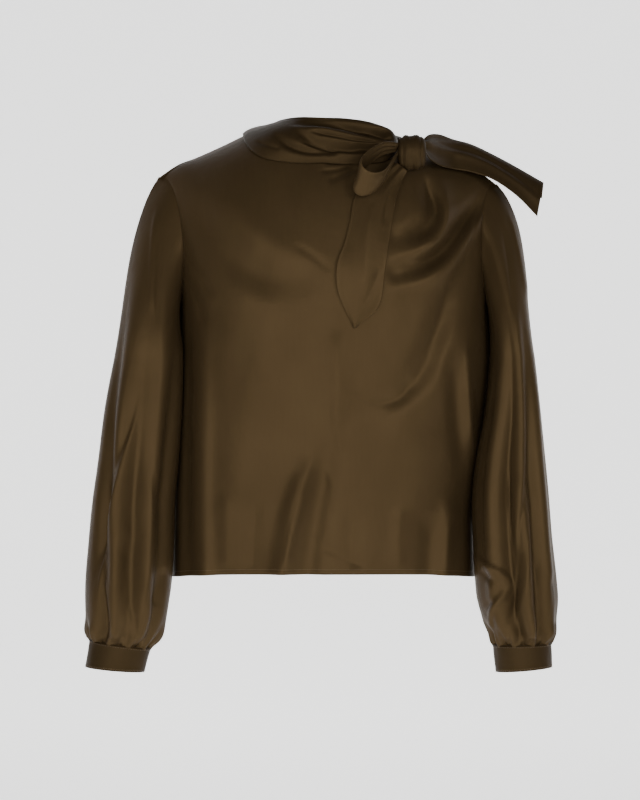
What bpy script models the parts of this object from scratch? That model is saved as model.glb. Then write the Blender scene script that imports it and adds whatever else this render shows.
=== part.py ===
"""A tie neck blouse in satin, filled out as it is worn, with nobody in it.

Metres, +Z up. The front faces -Y and the wearer's left is +X. The origin lies midway between the
two shoulder seams, where a wearer's shoulders carry the blouse.
"""

import math

import bmesh
import bpy
from mathutils import Vector

WALL = 0.0012
BAND_WALL = 0.0020
SEAM_GAP = 0.00025
SHOULDER_SEAM_GAP = 0.0006
ARMHOLE_GAP = 0.0006
SLEEVE_HEAD_GAP = 0.0019

HEM_Z = -0.524
HEM_SIDE_DROP = 0.008
UNDERARM_Z = -0.200
SHOULDER_Y = 0.004

RIGHT, LEFT = -1, 1
FRONT, BACK = -1, 1
SIDE_NAMES = {RIGHT: "right", LEFT: "left"}

NECK_COLUMNS = {FRONT: 18, BACK: 10}
SHOULDER_COLUMNS = {FRONT: 12, BACK: 6}
ROWS_BELOW_ARM = {FRONT: 15, BACK: 8}
ARMHOLE_ROWS = 15


class Table:
    """Rows of sizes under named columns. A column is read as a smooth curve along the first one."""

    def __init__(self, columns, *rows):
        self.columns = columns
        self.rows = rows

    def column(self, name):
        place = self.columns.index(name)
        return [row[place] for row in self.rows]

    def at(self, station, name):
        xs, ys = self.column(self.columns[0]), self.column(name)
        if station <= xs[0]:
            return ys[0]
        if station >= xs[-1]:
            return ys[-1]
        i = max(k for k in range(len(xs) - 1) if xs[k] <= station)
        slopes = [(ys[k + 1] - ys[k]) / (xs[k + 1] - xs[k]) for k in range(len(xs) - 1)]

        def tangent(k):
            near = slopes[max(0, k - 1): k + 1]
            return sum(near) / len(near)

        width = xs[i + 1] - xs[i]
        t = (station - xs[i]) / width
        return hermite(ys[i], tangent(i) * width, ys[i + 1], tangent(i + 1) * width, t)


def hermite(start, start_tangent, end, end_tangent, t):
    """A cubic from start to end, leaving and arriving along the two tangents."""
    keep = (1 + 2 * t) * (1 - t) ** 2
    leave = t * (1 - t) ** 2
    reach = t * t * (3 - 2 * t)
    arrive = t * t * (t - 1)
    return start * keep + start_tangent * leave + end * reach + end_tangent * arrive


def mix(a, b, t):
    return a * (1 - t) + b * t


def smooth_step(low, high, value):
    t = min(1.0, max(0.0, (value - low) / (high - low)))
    return t * t * (3 - 2 * t)


# The body below the arms: half widths towards each arm, and depths in front and behind
TORSO = Table(
    ("z", "right", "left", "front", "back"),
    (-0.532, 0.1895, 0.1900, 0.130, 0.112),
    (-0.440, 0.1865, 0.1880, 0.130, 0.110),
    (-0.360, 0.1825, 0.1985, 0.132, 0.108),
    (-0.260, 0.1785, 0.2085, 0.135, 0.108),
    (-0.200, 0.1785, 0.2055, 0.133, 0.108),
)
ROUNDNESS = 2.25

# The shoulder line on each side, from the middle of the neck hole, where no cloth is, to the shoulder point
SHOULDER = {
    RIGHT: Table(
        ("out", "z"),
        (0.000, 0.0400),
        (0.060, 0.0340),
        (0.092, 0.0215),
        (0.122, 0.0070),
        (0.160, -0.0100),
        (0.181, -0.0180),
        (0.205, -0.0340),
    ),
    LEFT: Table(
        ("out", "z"),
        (0.000, 0.0400),
        (0.060, 0.0300),
        (0.092, 0.0155),
        (0.122, 0.0050),
        (0.160, -0.0105),
        (0.190, -0.0235),
        (0.217, -0.0430),
    ),
}
SHOULDER_OUT = {RIGHT: 0.205, LEFT: 0.217}
NECK_OUT = 0.092
NECK_DIP = {FRONT: 0.365, BACK: 0.185}
NECK_SQUARENESS = {FRONT: 2.4, BACK: 2.2}
ARMHOLE_DIP = {FRONT: 0.062, BACK: 0.045}
ARMHOLE_CURVE = 0.85

# Soft ridges (height above 0) and troughs (below 0): height, half width, the share of the height
# that is left at the end, and a path of (x, z) seen from the front
FRONT_FOLDS = (
    ("chest sweep", -0.0060, 0.022, 0.2, (
        (-0.189, -0.046), (-0.150, -0.096), (-0.107, -0.140), (-0.070, -0.162), (-0.028, -0.162))),
    ("above the sweep", 0.0030, 0.020, 0.3, (
        (-0.168, -0.035), (-0.112, -0.082), (-0.050, -0.131), (0.005, -0.146))),
    ("below the sweep", 0.0025, 0.022, 0.3, (
        (-0.168, -0.103), (-0.127, -0.169), (-0.068, -0.199), (-0.010, -0.204))),
    ("under the knot", -0.0110, 0.010, 0.2, (
        (0.124, -0.034), (0.129, -0.058), (0.136, -0.080),
        (0.134, -0.092), (0.122, -0.104), (0.090, -0.115))),
    ("cowl ridge", 0.0110, 0.011, 0.15, (
        (0.146, -0.034), (0.151, -0.075), (0.149, -0.097),
        (0.138, -0.117), (0.117, -0.131), (0.090, -0.139))),
    ("cowl trough", -0.0150, 0.012, 0.3, (
        (0.208, -0.038), (0.180, -0.083), (0.160, -0.112),
        (0.136, -0.137), (0.117, -0.149), (0.090, -0.158))),
    ("cowl lower ridge", 0.0090, 0.012, 0.2, (
        (0.217, -0.052), (0.199, -0.082), (0.173, -0.118),
        (0.154, -0.146), (0.129, -0.163), (0.090, -0.174))),
    ("long drape trough", -0.0110, 0.013, 0.15, (
        (0.210, -0.077), (0.196, -0.114), (0.174, -0.148), (0.156, -0.183),
        (0.135, -0.241), (0.113, -0.284), (0.087, -0.312), (0.034, -0.330))),
    ("long drape ridge", 0.0070, 0.018, 0.2, (
        (0.193, -0.172), (0.168, -0.242), (0.141, -0.300), (0.097, -0.344))),
    ("front ridge", 0.0090, 0.012, 1.0, ((-0.013, -0.378), (-0.036, -0.445), (-0.051, -0.527))),
    ("front trough", -0.0070, 0.013, 1.0, ((0.009, -0.358), (-0.008, -0.446), (-0.019, -0.528))),
    ("left side ridge", 0.0070, 0.009, 0.3, ((0.176, -0.227), (0.179, -0.315), (0.189, -0.399))),
    ("left side trough", -0.0060, 0.010, 0.3, ((0.158, -0.242), (0.163, -0.330), (0.173, -0.428))),
    ("left hem ridge", 0.0070, 0.010, 1.0, ((0.153, -0.418), (0.150, -0.530))),
    ("left hem trough", -0.0050, 0.011, 1.0, ((0.131, -0.447), (0.127, -0.529))),
    ("right side trough", -0.0070, 0.010, 1.0, ((-0.164, -0.182), (-0.166, -0.349), (-0.165, -0.531))),
    ("right side ridge", 0.0070, 0.012, 1.0, ((-0.146, -0.193), (-0.148, -0.378), (-0.147, -0.530))),
)
BACK_FOLDS = (
    ("yoke drag right", -0.0050, 0.016, 0.3, ((-0.165, -0.080), (-0.120, -0.150), (-0.090, -0.240))),
    ("yoke drag left", -0.0050, 0.016, 0.3, ((0.170, -0.085), (0.125, -0.160), (0.098, -0.250))),
    ("back trough right", -0.0070, 0.018, 1.0, ((-0.060, -0.230), (-0.066, -0.380), (-0.072, -0.535))),
    ("back trough left", -0.0070, 0.018, 1.0, ((0.048, -0.260), (0.052, -0.400), (0.060, -0.535))),
    ("back ridge", 0.0070, 0.020, 1.0, ((-0.008, -0.200), (-0.006, -0.380), (-0.006, -0.535))),
    ("side back ridge right", 0.0060, 0.016, 1.0, ((-0.128, -0.250), (-0.130, -0.535))),
    ("side back ridge left", 0.0060, 0.016, 1.0, ((0.120, -0.270), (0.124, -0.535))),
)
FOLDS = {FRONT: FRONT_FOLDS, BACK: BACK_FOLDS}
FOLD_FADE = 0.35


def path_distance(path, x, z):
    """How far (x, z) lies from a path, and how far along the path the nearest point is, from 0 to 1."""
    lengths = [math.dist(a, b) for a, b in zip(path, path[1:])]
    total, gone, best = sum(lengths), 0.0, (1e9, 0.0)
    for (ax, az), (bx, bz), length in zip(path, path[1:], lengths):
        t = ((x - ax) * (bx - ax) + (z - az) * (bz - az)) / length**2
        t = min(1.0, max(0.0, t))
        away = math.hypot(x - mix(ax, bx, t), z - mix(az, bz, t))
        best = min(best, (away, (gone + t * length) / total))
        gone += length
    return best


def fold_height(folds, x, z):
    """The sum of the soft ridges and troughs at (x, z). Each fades in, and to its share at the end."""
    height = 0.0
    for _, size, half_width, left_over, path in folds:
        away, along = path_distance(path, x, z)
        if away < 3 * half_width:
            fade = smooth_step(-0.05, FOLD_FADE, along)
            fade *= mix(left_over, 1.0, smooth_step(1.0, 1 - FOLD_FADE, along))
            height += size * fade * math.exp(-((away / half_width) ** 2))
    return height


def neck_share(side):
    return NECK_OUT / SHOULDER_OUT[side]


def torso_depth(face, z):
    return TORSO.at(z, "front" if face == FRONT else "back")


def rounded(share):
    """How deep an ellipse-like section is at a share of its half width."""
    return max(0.0, 1 - abs(share) ** ROUNDNESS) ** (1 / ROUNDNESS)


def body_point(face, across, height):
    """A point of the body's outer surface, with its folds.

    across runs from -1 at the wearer's right to 1 at the left; height from 0 at the hem to 1 at
    the arm's level and 2 at the shoulder line, which runs on over the neck hole.
    """
    side = LEFT if across >= 0 else RIGHT
    share = abs(across)
    if height <= 1:
        z = mix(HEM_Z - HEM_SIDE_DROP * share**4, UNDERARM_Z, height)
        out = share * TORSO.at(z, SIDE_NAMES[side])
        point = Vector((side * out, face * torso_depth(face, z) * rounded(share), z))
    else:
        low = Vector((
            side * share * TORSO.at(UNDERARM_Z, SIDE_NAMES[side]),
            face * torso_depth(face, UNDERARM_Z) * rounded(share),
            UNDERARM_Z,
        ))
        out = share * SHOULDER_OUT[side]
        top = Vector((side * out, SHOULDER_Y, SHOULDER[side].at(out, "z")))
        shift = top - low
        leave = Vector((0, 0, shift.z * 1.25))
        arrive = Vector((shift.x, shift.y * 2.3, shift.z * 0.2))
        point = hermite(low, leave, top, arrive, height - 1)
    raised = fold_height(FOLDS[face], point.x, point.z)
    near_shoulder = smooth_step(2.0, 1.8, height)
    near_side = smooth_step(1.0, 0.9, share)
    point.y += face * raised * near_shoulder * near_side
    return point


def body_normal(face, across, height):
    """The outward direction of the body's surface."""
    step = 0.004
    over = body_point(face, across + step, height) - body_point(face, across - step, height)
    up = body_point(face, across, min(2.0, height + step)) - body_point(face, across, height - step)
    return (over.cross(up) * -face).normalized()


def body_spot(x, z):
    """Where (x, z), seen from the front, lies on the front of the body, as (across, height)."""
    side = LEFT if x >= 0 else RIGHT
    low, high = 0.0, 2.0
    across = 0.0
    for _ in range(24):
        height = 0.5 * (low + high)
        level = mix(HEM_Z, UNDERARM_Z, min(height, 1.0))
        width = TORSO.at(level, SIDE_NAMES[side])
        if height > 1:
            width = mix(width, SHOULDER_OUT[side], height - 1)
        across = max(-1.0, min(1.0, x / width))
        if body_point(FRONT, across, height).z < z:
            low = height
        else:
            high = height
    return across, 0.5 * (low + high)


def collar_seat(degrees, outset):
    """A spot round the neck, from the wearer's left towards the front, outset from the neck hole's edge."""
    angle = math.radians(degrees)
    side = LEFT if math.cos(angle) >= 0 else RIGHT
    face = FRONT if math.sin(angle) >= 0 else BACK
    power = 2 / COLLAR_SQUARENESS[face]
    across = side * abs(math.cos(angle)) ** power * (neck_share(side) + outset / SHOULDER_OUT[side])
    dip = NECK_DIP[face] + outset / (SHOULDER[side].at(0, "z") - UNDERARM_Z)
    height = 2 - abs(math.sin(angle)) ** power * dip
    return face, across, height


def armhole_share(face, rise):
    """How far out the panel reaches at a height within the armhole, as a share of the half width."""
    return 1 - ARMHOLE_DIP[face] * max(0.0, 4 * rise * (1 - rise)) ** ARMHOLE_CURVE


def panel_columns(face, side):
    """Shares of the half width where a side's columns stand, closer at the neck and the side seam."""
    neck, shoulder = NECK_COLUMNS[face] // 2, SHOULDER_COLUMNS[face]
    edge, quarter = neck_share(side), 0.5 * math.pi
    inner = [edge * math.sin(quarter * k / neck) for k in range(1, neck + 1)]
    outer = [mix(edge, 1.0, math.sin(quarter * k / shoulder)) for k in range(1, shoulder + 1)]
    return [side * share for share in inner + outer]


def panel_point(face):
    """The map from the unit square to the front or back panel, with its numbers of columns and rows."""
    shares = panel_columns(face, RIGHT)[::-1] + [0.0] + panel_columns(face, LEFT)
    rows_low = ROWS_BELOW_ARM[face]
    rows = rows_low + ARMHOLE_ROWS
    squareness = NECK_SQUARENESS[face]

    def point(u, v):
        row = v * rows
        across = shares[round(u * (len(shares) - 1))]
        side = LEFT if across >= 0 else RIGHT
        if row <= rows_low:
            height, reach = row / rows_low, 1.0
        else:
            rise = 0.5 - 0.5 * math.cos(math.pi * (row - rows_low) / ARMHOLE_ROWS)
            reach = armhole_share(face, rise)
            from_middle = abs(across / neck_share(side))
            inside_neck = max(0.0, 1 - from_middle**squareness) ** (1 / squareness)
            height = 1 + rise * (1 - NECK_DIP[face] * inside_neck * rise)
        placed = body_point(face, across * reach, height)
        placed.y += face * (SEAM_GAP + SHOULDER_SEAM_GAP * smooth_step(1.7, 1.95, height))
        return placed

    return point, len(shares) - 1, rows


# The sleeves below the armhole: outer and inner edge from the centre line, middle and half depth
SLEEVE = {
    RIGHT: Table(
        ("z", "outer", "inner", "middle", "depth"),
        (-0.6110, 0.2870, 0.2125, -0.058, 0.0350),
        (-0.5990, 0.2910, 0.2010, -0.057, 0.0445),
        (-0.5840, 0.2920, 0.1950, -0.056, 0.0510),
        (-0.5595, 0.2930, 0.1900, -0.054, 0.0570),
        (-0.5350, 0.2930, 0.1865, -0.052, 0.0600),
        (-0.4855, 0.2890, 0.1830, -0.049, 0.0610),
        (-0.4360, 0.2845, 0.1820, -0.046, 0.0610),
        (-0.3870, 0.2780, 0.1780, -0.043, 0.0600),
        (-0.3250, 0.2700, 0.1730, -0.039, 0.0600),
        (-0.2600, 0.2590, 0.1690, -0.032, 0.0610),
    ),
    LEFT: Table(
        ("z", "outer", "inner", "middle", "depth"),
        (-0.6110, 0.2805, 0.2095, -0.058, 0.0350),
        (-0.5990, 0.2855, 0.2055, -0.057, 0.0445),
        (-0.5840, 0.2880, 0.1985, -0.056, 0.0510),
        (-0.5595, 0.2905, 0.1905, -0.054, 0.0570),
        (-0.5350, 0.2890, 0.1875, -0.052, 0.0600),
        (-0.4855, 0.2840, 0.1845, -0.048, 0.0610),
        (-0.4360, 0.2800, 0.1835, -0.043, 0.0620),
        (-0.3870, 0.2755, 0.1890, -0.038, 0.0620),
        (-0.3250, 0.2700, 0.2000, -0.033, 0.0620),
        (-0.2600, 0.2630, 0.2060, -0.027, 0.0610),
    ),
}
UPPER_ARM_Z = -0.260
SLEEVE_END_Z = -0.6120
SLEEVE_END_TILT = {RIGHT: math.radians(8.0), LEFT: math.radians(1.5)}
SLEEVE_AROUND = 2 * ARMHOLE_ROWS
SLEEVE_CAP_ROWS = 6
SLEEVE_HEAD_FLARE = {RIGHT: 0.62, LEFT: 0.90}
SLEEVE_ROWS = 21
CUFF_HEIGHT = 0.0315
CUFF_SWING = {RIGHT: math.radians(12.0), LEFT: math.radians(4.5)}
CUFF_HEM_TILT = {RIGHT: math.radians(5.0), LEFT: math.radians(5.0)}
CUFF_SEAM_GAP = 0.0004
CUFF_LAP = math.radians(30)
CUFF_OPENING = math.radians(-118)
CUFF_LAP_RISE = BAND_WALL + 0.0004
CUFF_AROUND, CUFF_ROWS = 30, 2
BODY_CLEARANCE = 0.0025
GATHERS = 10
GATHER_HEIGHT = 0.0032

# Long soft folds of the sleeves: where round the arm, in degrees from the outer side towards the
# front, at the top and at the cuff, then the half width there and the height
SLEEVE_FOLDS = {
    RIGHT: (
        ("outer fold", 22, 66, 11, -0.0100),
        ("outer ridge", 44, 88, 12, 0.0080),
        ("middle fold", 78, 104, 10, -0.0070),
        ("inner ridge", 112, 122, 12, 0.0070),
        ("inner fold", 136, 140, 11, -0.0060),
        ("back fold", -70, -60, 15, -0.0080),
        ("back ridge", -105, -100, 16, 0.0070),
    ),
    LEFT: (
        ("outer ridge", 40, 44, 12, 0.0060),
        ("outer fold", 58, 62, 10, -0.0080),
        ("front ridge", 78, 80, 11, 0.0080),
        ("front fold", 98, 101, 10, -0.0100),
        ("inner ridge", 120, 126, 12, 0.0070),
        ("back fold", -75, -66, 15, -0.0080),
        ("back ridge", -110, -104, 16, 0.0070),
    ),
}


def armhole_point(side, around):
    """The armhole's edge, from 0 at the shoulder point over the front to half a turn at the underarm."""
    face = FRONT if math.sin(around) >= 0 else BACK
    rise = 0.5 + 0.5 * math.cos(around)
    edge = body_point(face, side * armhole_share(face, rise), 1 + rise)
    return edge + Vector((side * (ARMHOLE_GAP + SLEEVE_HEAD_GAP * rise**3), 0, 0))


def sleeve_ring(side, z, around):
    """A level ring of the sleeve, kept just clear of the body beside it."""
    sizes = SLEEVE[side]
    outer, inner = sizes.at(z, "outer"), sizes.at(z, "inner")
    middle, depth = sizes.at(z, "middle"), sizes.at(z, "depth")
    x = 0.5 * (outer + inner) + 0.5 * (outer - inner) * math.cos(around)
    y = middle - depth * math.sin(around)
    return clear_of_body(side, x, y, z)


def clear_of_body(side, x, y, z):
    """Moves a point of the sleeve out of the body's section, to a small distance from it."""
    if z < HEM_Z - 0.012:
        return Vector((side * x, y, z))
    face = FRONT if y < 0 else BACK
    width = TORSO.at(z, SIDE_NAMES[side]) + BODY_CLEARANCE
    depth = torso_depth(face, z) + BODY_CLEARANCE
    inside = ((x / width) ** ROUNDNESS + (abs(y) / depth) ** ROUNDNESS) ** (1 / ROUNDNESS)
    if inside < 1:
        x, y = x / inside, y / inside
    return Vector((side * x, y, z))


def sleeve_fold(side, around, along):
    """The long folds and, near the cuff, the gathers, as a height over the plain sleeve."""
    degrees = math.degrees(around)
    degrees = degrees - 360 if degrees > 180 else degrees
    height = 0.0
    for _, top, bottom, half_width, size in SLEEVE_FOLDS[side]:
        away = (degrees - mix(top, bottom, along)) / half_width
        height += size * smooth_step(0.12, 0.6, along) * math.exp(-away * away)
    height *= smooth_step(1.0, 0.93, along)
    gathered = smooth_step(0.86, 0.96, along) * smooth_step(1.02, 0.99, along)
    return height + gathered * GATHER_HEIGHT * math.cos(GATHERS * around)


def sleeve_point(side):
    """The map from the unit square to a sleeve, from the armhole down to the cuff."""
    wrist = 0.5 * (SLEEVE[side].column("outer")[0] + SLEEVE[side].column("inner")[0])

    def plain(around, along):
        cap_part = SLEEVE_CAP_ROWS / SLEEVE_ROWS
        if along >= cap_part:
            t = (along - cap_part) / (1 - cap_part)
            return sleeve_ring(side, mix(UPPER_ARM_Z, SLEEVE_END_Z, 1 - (1 - t) ** 1.35), around)
        t = along / cap_part
        start = armhole_point(side, around)
        end = sleeve_ring(side, UPPER_ARM_Z, around)
        reach = (end - start).length
        up = 0.5 + 0.5 * math.cos(around)
        flare = mix(0.10, SLEEVE_HEAD_FLARE[side], up)
        leave = Vector((side * flare, -0.18 * math.sin(around), -mix(1.0, 0.80, up)))
        arrive = Vector((side * mix(0.0, 0.17, up), 0, -1))
        return hermite(start, leave.normalized() * reach * 0.75, end, arrive.normalized() * reach, t)

    def point(u, v):
        around = 2 * math.pi * (u % 1.0)
        here = plain(around, v)
        step = 0.002
        tangent_round = plain(around + step, v) - plain(around - step, v)
        along_low, along_high = max(0.0, v - step), min(1.0, v + step)
        tangent_down = plain(around, along_high) - plain(around, along_low)
        outward = tangent_down.cross(tangent_round) * side
        outward.z *= smooth_step(1.0, 0.85, v)
        if outward.length > 0:
            here += outward.normalized() * sleeve_fold(side, around, v)
        here.z += math.tan(SLEEVE_END_TILT[side]) * smooth_step(0.82, 1.0, v) * (side * here.x - wrist)
        return here

    return point


def cuff_point(side):
    """The map from the unit square to a cuff: a strip wound round the wrist with its end lapped over."""
    sizes = SLEEVE[side]
    outer, inner = sizes.column("outer")[0], sizes.column("inner")[0]
    centre = Vector((side * 0.5 * (outer + inner), sizes.column("middle")[0], SLEEVE_END_Z - CUFF_SEAM_GAP))
    half_width, half_depth = 0.5 * (outer - inner) + 0.0006, sizes.column("depth")[0] + 0.0006
    lap_start = 1 - CUFF_LAP / (2 * math.pi + CUFF_LAP)

    def point(u, v):
        turn = CUFF_OPENING + u * (2 * math.pi + CUFF_LAP)
        lift = CUFF_LAP_RISE * smooth_step(lap_start - 0.07, lap_start, u)
        swing = math.tan(CUFF_SWING[side]) * v * CUFF_HEIGHT
        out = (half_width + lift - 0.0012 * v) * math.cos(turn)
        depth = (half_depth + lift - 0.0012 * v) * math.sin(turn)
        slope = math.tan(mix(SLEEVE_END_TILT[side], CUFF_HEM_TILT[side], v))
        drop = -v * CUFF_HEIGHT + slope * out
        return centre + Vector((side * (out + swing), -depth, drop))

    return point


BUTTON_RADIUS = 0.0055
BUTTON_HEIGHT = 0.0024
BUTTON_GAP = 0.0004

# The collar is a soft folded band round the neck: its upper edge, how far its middle bulges, and
# how far its lower edge laps over the body, at angles from the wearer's left towards the front
COLLAR = Table(
    ("degrees", "out", "z", "bulge", "lap"),
    (20, 0.0955, 0.0120, 0.0020, 0.005),
    (30, 0.1010, 0.0170, 0.0030, 0.007),
    (38, 0.1020, 0.0215, 0.0045, 0.008),
    (50, 0.0880, 0.0290, 0.0070, 0.010),
    (65, 0.0730, 0.0330, 0.0090, 0.010),
    (90, 0.0640, 0.0345, 0.0110, 0.010),
    (120, 0.0610, 0.0360, 0.0110, 0.010),
    (150, 0.0610, 0.0345, 0.0080, 0.009),
    (180, 0.0620, 0.0320, 0.0060, 0.008),
    (215, 0.0600, 0.0320, 0.0050, 0.007),
    (270, 0.0570, 0.0320, 0.0050, 0.007),
    (320, 0.0660, 0.0300, 0.0050, 0.007),
    (345, 0.0800, 0.0230, 0.0040, 0.006),
    (362, 0.0950, 0.0140, 0.0020, 0.004),
)
COLLAR_START, COLLAR_END = 20.0, 362.0
COLLAR_AROUND, COLLAR_ROWS = 38, 10
COLLAR_CENTRE_Y = -0.010
COLLAR_SQUARENESS = {FRONT: 3.0, BACK: 2.2}
COLLAR_STAND_OFF = 0.0026
COLLAR_FOLDS = (
    ("top roll trough", -0.0080, 0.0050, 1.0, (
        (-0.048, 0.030), (-0.010, 0.029), (0.016, 0.026), (0.048, 0.018), (0.080, 0.010))),
    ("top roll", 0.0040, 0.0060, 1.0, ((-0.050, 0.038), (0.010, 0.038), (0.050, 0.030), (0.078, 0.020))),
    ("middle ridge", 0.0050, 0.0050, 1.0, ((-0.040, 0.022), (0.000, 0.018), (0.030, 0.010), (0.080, 0.000))),
    ("middle trough", -0.0070, 0.0050, 1.0, (
        (-0.038, 0.022), (-0.016, 0.006), (0.014, -0.002), (0.080, -0.005))),
    ("lower trough", -0.0060, 0.0045, 1.0, (
        (-0.062, 0.016), (-0.044, 0.000), (-0.022, -0.008), (0.012, -0.009))),
)


def collar_point(u, v):
    """The map from the unit square to the collar: u runs round the neck, v from the lower edge up."""
    degrees = mix(COLLAR_START, COLLAR_END, u)
    angle = math.radians(degrees)
    face, across, height = collar_seat(degrees, COLLAR.at(degrees, "lap"))
    low = body_point(face, across, height) + body_normal(face, across, height) * COLLAR_STAND_OFF
    out = COLLAR.at(degrees, "out")
    high = Vector((out * math.cos(angle), COLLAR_CENTRE_Y - out * math.sin(angle), COLLAR.at(degrees, "z")))
    outward = Vector((math.cos(angle), -math.sin(angle), 0.35)).normalized()
    swell = math.sin(math.pi * v * 1.05) ** 0.8 if 0 < v < 0.95 else 0.0
    rise = COLLAR.at(degrees, "bulge") * swell
    plain = low.lerp(high, v) + outward * rise
    folded = fold_height(COLLAR_FOLDS, plain.x, plain.z) if face == FRONT else 0.0
    return plain + outward * folded * math.sin(math.pi * v) ** 0.5


KNOT_CENTRE = Vector((0.1075, -0.0785, -0.0092))
KNOT_RADII = Vector((0.0160, 0.0175, 0.0220))
KNOT_TURNS = 4


def knot_mesh(name):
    """The wrapped knot: a rounded barrel with the turns of cloth raised round it."""
    form = bmesh.new()
    bmesh.ops.create_uvsphere(form, u_segments=20, v_segments=11, radius=1)
    for vertex in form.verts:
        x, y, z = vertex.co
        turn = math.atan2(z, y)
        squared = Vector((math.copysign(abs(x) ** 0.7, x), y, z))
        ridge = 1 + 0.05 * math.cos(KNOT_TURNS * math.pi * x + 0.6 * turn)
        vertex.co = KNOT_CENTRE + Vector((
            squared.x * KNOT_RADII.x, squared.y * KNOT_RADII.y * ridge, squared.z * KNOT_RADII.z * ridge,
        ))
    mesh = bpy.data.meshes.new(name)
    form.to_mesh(mesh)
    form.free()
    mesh.shade_smooth()
    return mesh


# The bow's loop: its near edge as seen from the front, and the width of the band behind it
LOOP = Table(
    ("along", "x", "z", "y", "wide"),
    (0.00, 0.0932, 0.0015, -0.0885, 0.011),
    (0.14, 0.0750, 0.0020, -0.1070, 0.020),
    (0.28, 0.0565, -0.0085, -0.1270, 0.029),
    (0.38, 0.0480, -0.0185, -0.1360, 0.033),
    (0.48, 0.0478, -0.0295, -0.1400, 0.034),
    (0.56, 0.0537, -0.0355, -0.1395, 0.034),
    (0.66, 0.0645, -0.0375, -0.1350, 0.031),
    (0.76, 0.0760, -0.0330, -0.1240, 0.026),
    (0.88, 0.0850, -0.0200, -0.1050, 0.016),
    (1.00, 0.0922, -0.0080, -0.0885, 0.009),
)
LOOP_ALONG, LOOP_ACROSS = 22, 5
LOOP_BACK = Vector((-0.28, 0.40, -0.80)).normalized()

# The tail that hangs on the front, by its edges as seen from the front
TAIL_FRONT = Table(
    ("along", "right_x", "right_z", "left_x", "left_z", "off"),
    (0.00, 0.0872, -0.0200, 0.1030, -0.0322, 0.0110),
    (0.08, 0.0740, -0.0310, 0.0990, -0.0390, 0.0060),
    (0.20, 0.0560, -0.0460, 0.0940, -0.0510, 0.0032),
    (0.32, 0.0390, -0.0650, 0.0890, -0.0690, 0.0030),
    (0.48, 0.0325, -0.0950, 0.0842, -0.0960, 0.0028),
    (0.62, 0.0258, -0.1220, 0.0797, -0.1230, 0.0036),
    (0.75, 0.0165, -0.1500, 0.0750, -0.1560, 0.0044),
    (0.86, 0.0180, -0.1809, 0.0680, -0.1975, 0.0032),
    (1.00, 0.0373, -0.2255, 0.0388, -0.2255, 0.0008),
)
TAIL_FRONT_ALONG, TAIL_FRONT_ACROSS = 20, 8

# The tail that lies over the left shoulder: its crest, front edge and back edge
TAIL_SHOULDER = Table(
    ("along", "x", "crest_y", "crest_z", "front_x", "front_y", "front_z", "back_y", "back_z"),
    (0.00, 0.1238, -0.078, 0.0065, 0.1238, -0.086, -0.0105, -0.070, -0.0080),
    (0.07, 0.1310, -0.066, 0.0118, 0.1300, -0.080, -0.0180, -0.050, 0.0010),
    (0.16, 0.1430, -0.044, 0.0140, 0.1420, -0.066, -0.0240, -0.018, 0.0030),
    (0.30, 0.1610, -0.024, 0.0110, 0.1600, -0.0470, -0.0270, 0.006, -0.0072),
    (0.48, 0.1840, -0.016, 0.0062, 0.1830, -0.0415, -0.0305, 0.014, -0.0165),
    (0.66, 0.2110, -0.013, -0.0060, 0.2100, -0.040, -0.0395, 0.016, -0.0290),
    (0.84, 0.2410, -0.015, -0.0225, 0.2400, -0.040, -0.0600, 0.012, -0.0430),
    (1.00, 0.2740, -0.020, -0.0430, 0.2650, -0.042, -0.0855, 0.006, -0.0600),
)
TAIL_SHOULDER_ALONG, TAIL_SHOULDER_ACROSS = 14, 8


def loop_point(u, v):
    """The bow's loop: u along the band from the knot and back to it, v across the band from its near edge."""
    near = Vector((LOOP.at(u, "x"), LOOP.at(u, "y"), LOOP.at(u, "z")))
    return near + LOOP_BACK * LOOP.at(u, "wide") * v


def tail_front_point(u, v):
    """The hanging tail: u across it from the wearer's right edge, v down it. It lies just off the front."""
    x = mix(TAIL_FRONT.at(v, "right_x"), TAIL_FRONT.at(v, "left_x"), u)
    z = mix(TAIL_FRONT.at(v, "right_z"), TAIL_FRONT.at(v, "left_z"), u)
    across, height = body_spot(x, z)
    y = body_point(FRONT, across, height).y
    crown = 0.003 * math.sin(math.pi * u)
    pleat = 0.0015 * smooth_step(0.40, 0.05, v) * (1 - math.cos(4 * math.pi * u))
    return Vector((x, y - TAIL_FRONT.at(v, "off") - crown - pleat, z))


def tail_shoulder_point(u, v):
    """The tail over the shoulder: u along it, v across it from the front edge over the crest."""
    at = TAIL_SHOULDER.at
    front = Vector((at(u, "front_x"), at(u, "front_y"), at(u, "front_z")))
    crest = Vector((at(u, "x"), at(u, "crest_y"), at(u, "crest_z")))
    back = Vector((at(u, "x"), at(u, "back_y"), at(u, "back_z")))
    pull = 2 * crest - 0.5 * (front + back)
    return front * (1 - v) ** 2 + pull * 2 * v * (1 - v) + back * v * v


def material(name, colour, roughness, metallic=0.0):
    made = bpy.data.materials.new(name)
    made.use_nodes = True
    surface = made.node_tree.nodes["Principled BSDF"]
    surface.inputs["Base Color"].default_value = (*colour, 1)
    surface.inputs["Roughness"].default_value = roughness
    surface.inputs["Metallic"].default_value = metallic
    return made


def add_object(name, mesh, collection, finish):
    made = bpy.data.objects.new(name, mesh)
    mesh.materials.append(finish)
    collection.objects.link(made)
    return made


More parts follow.
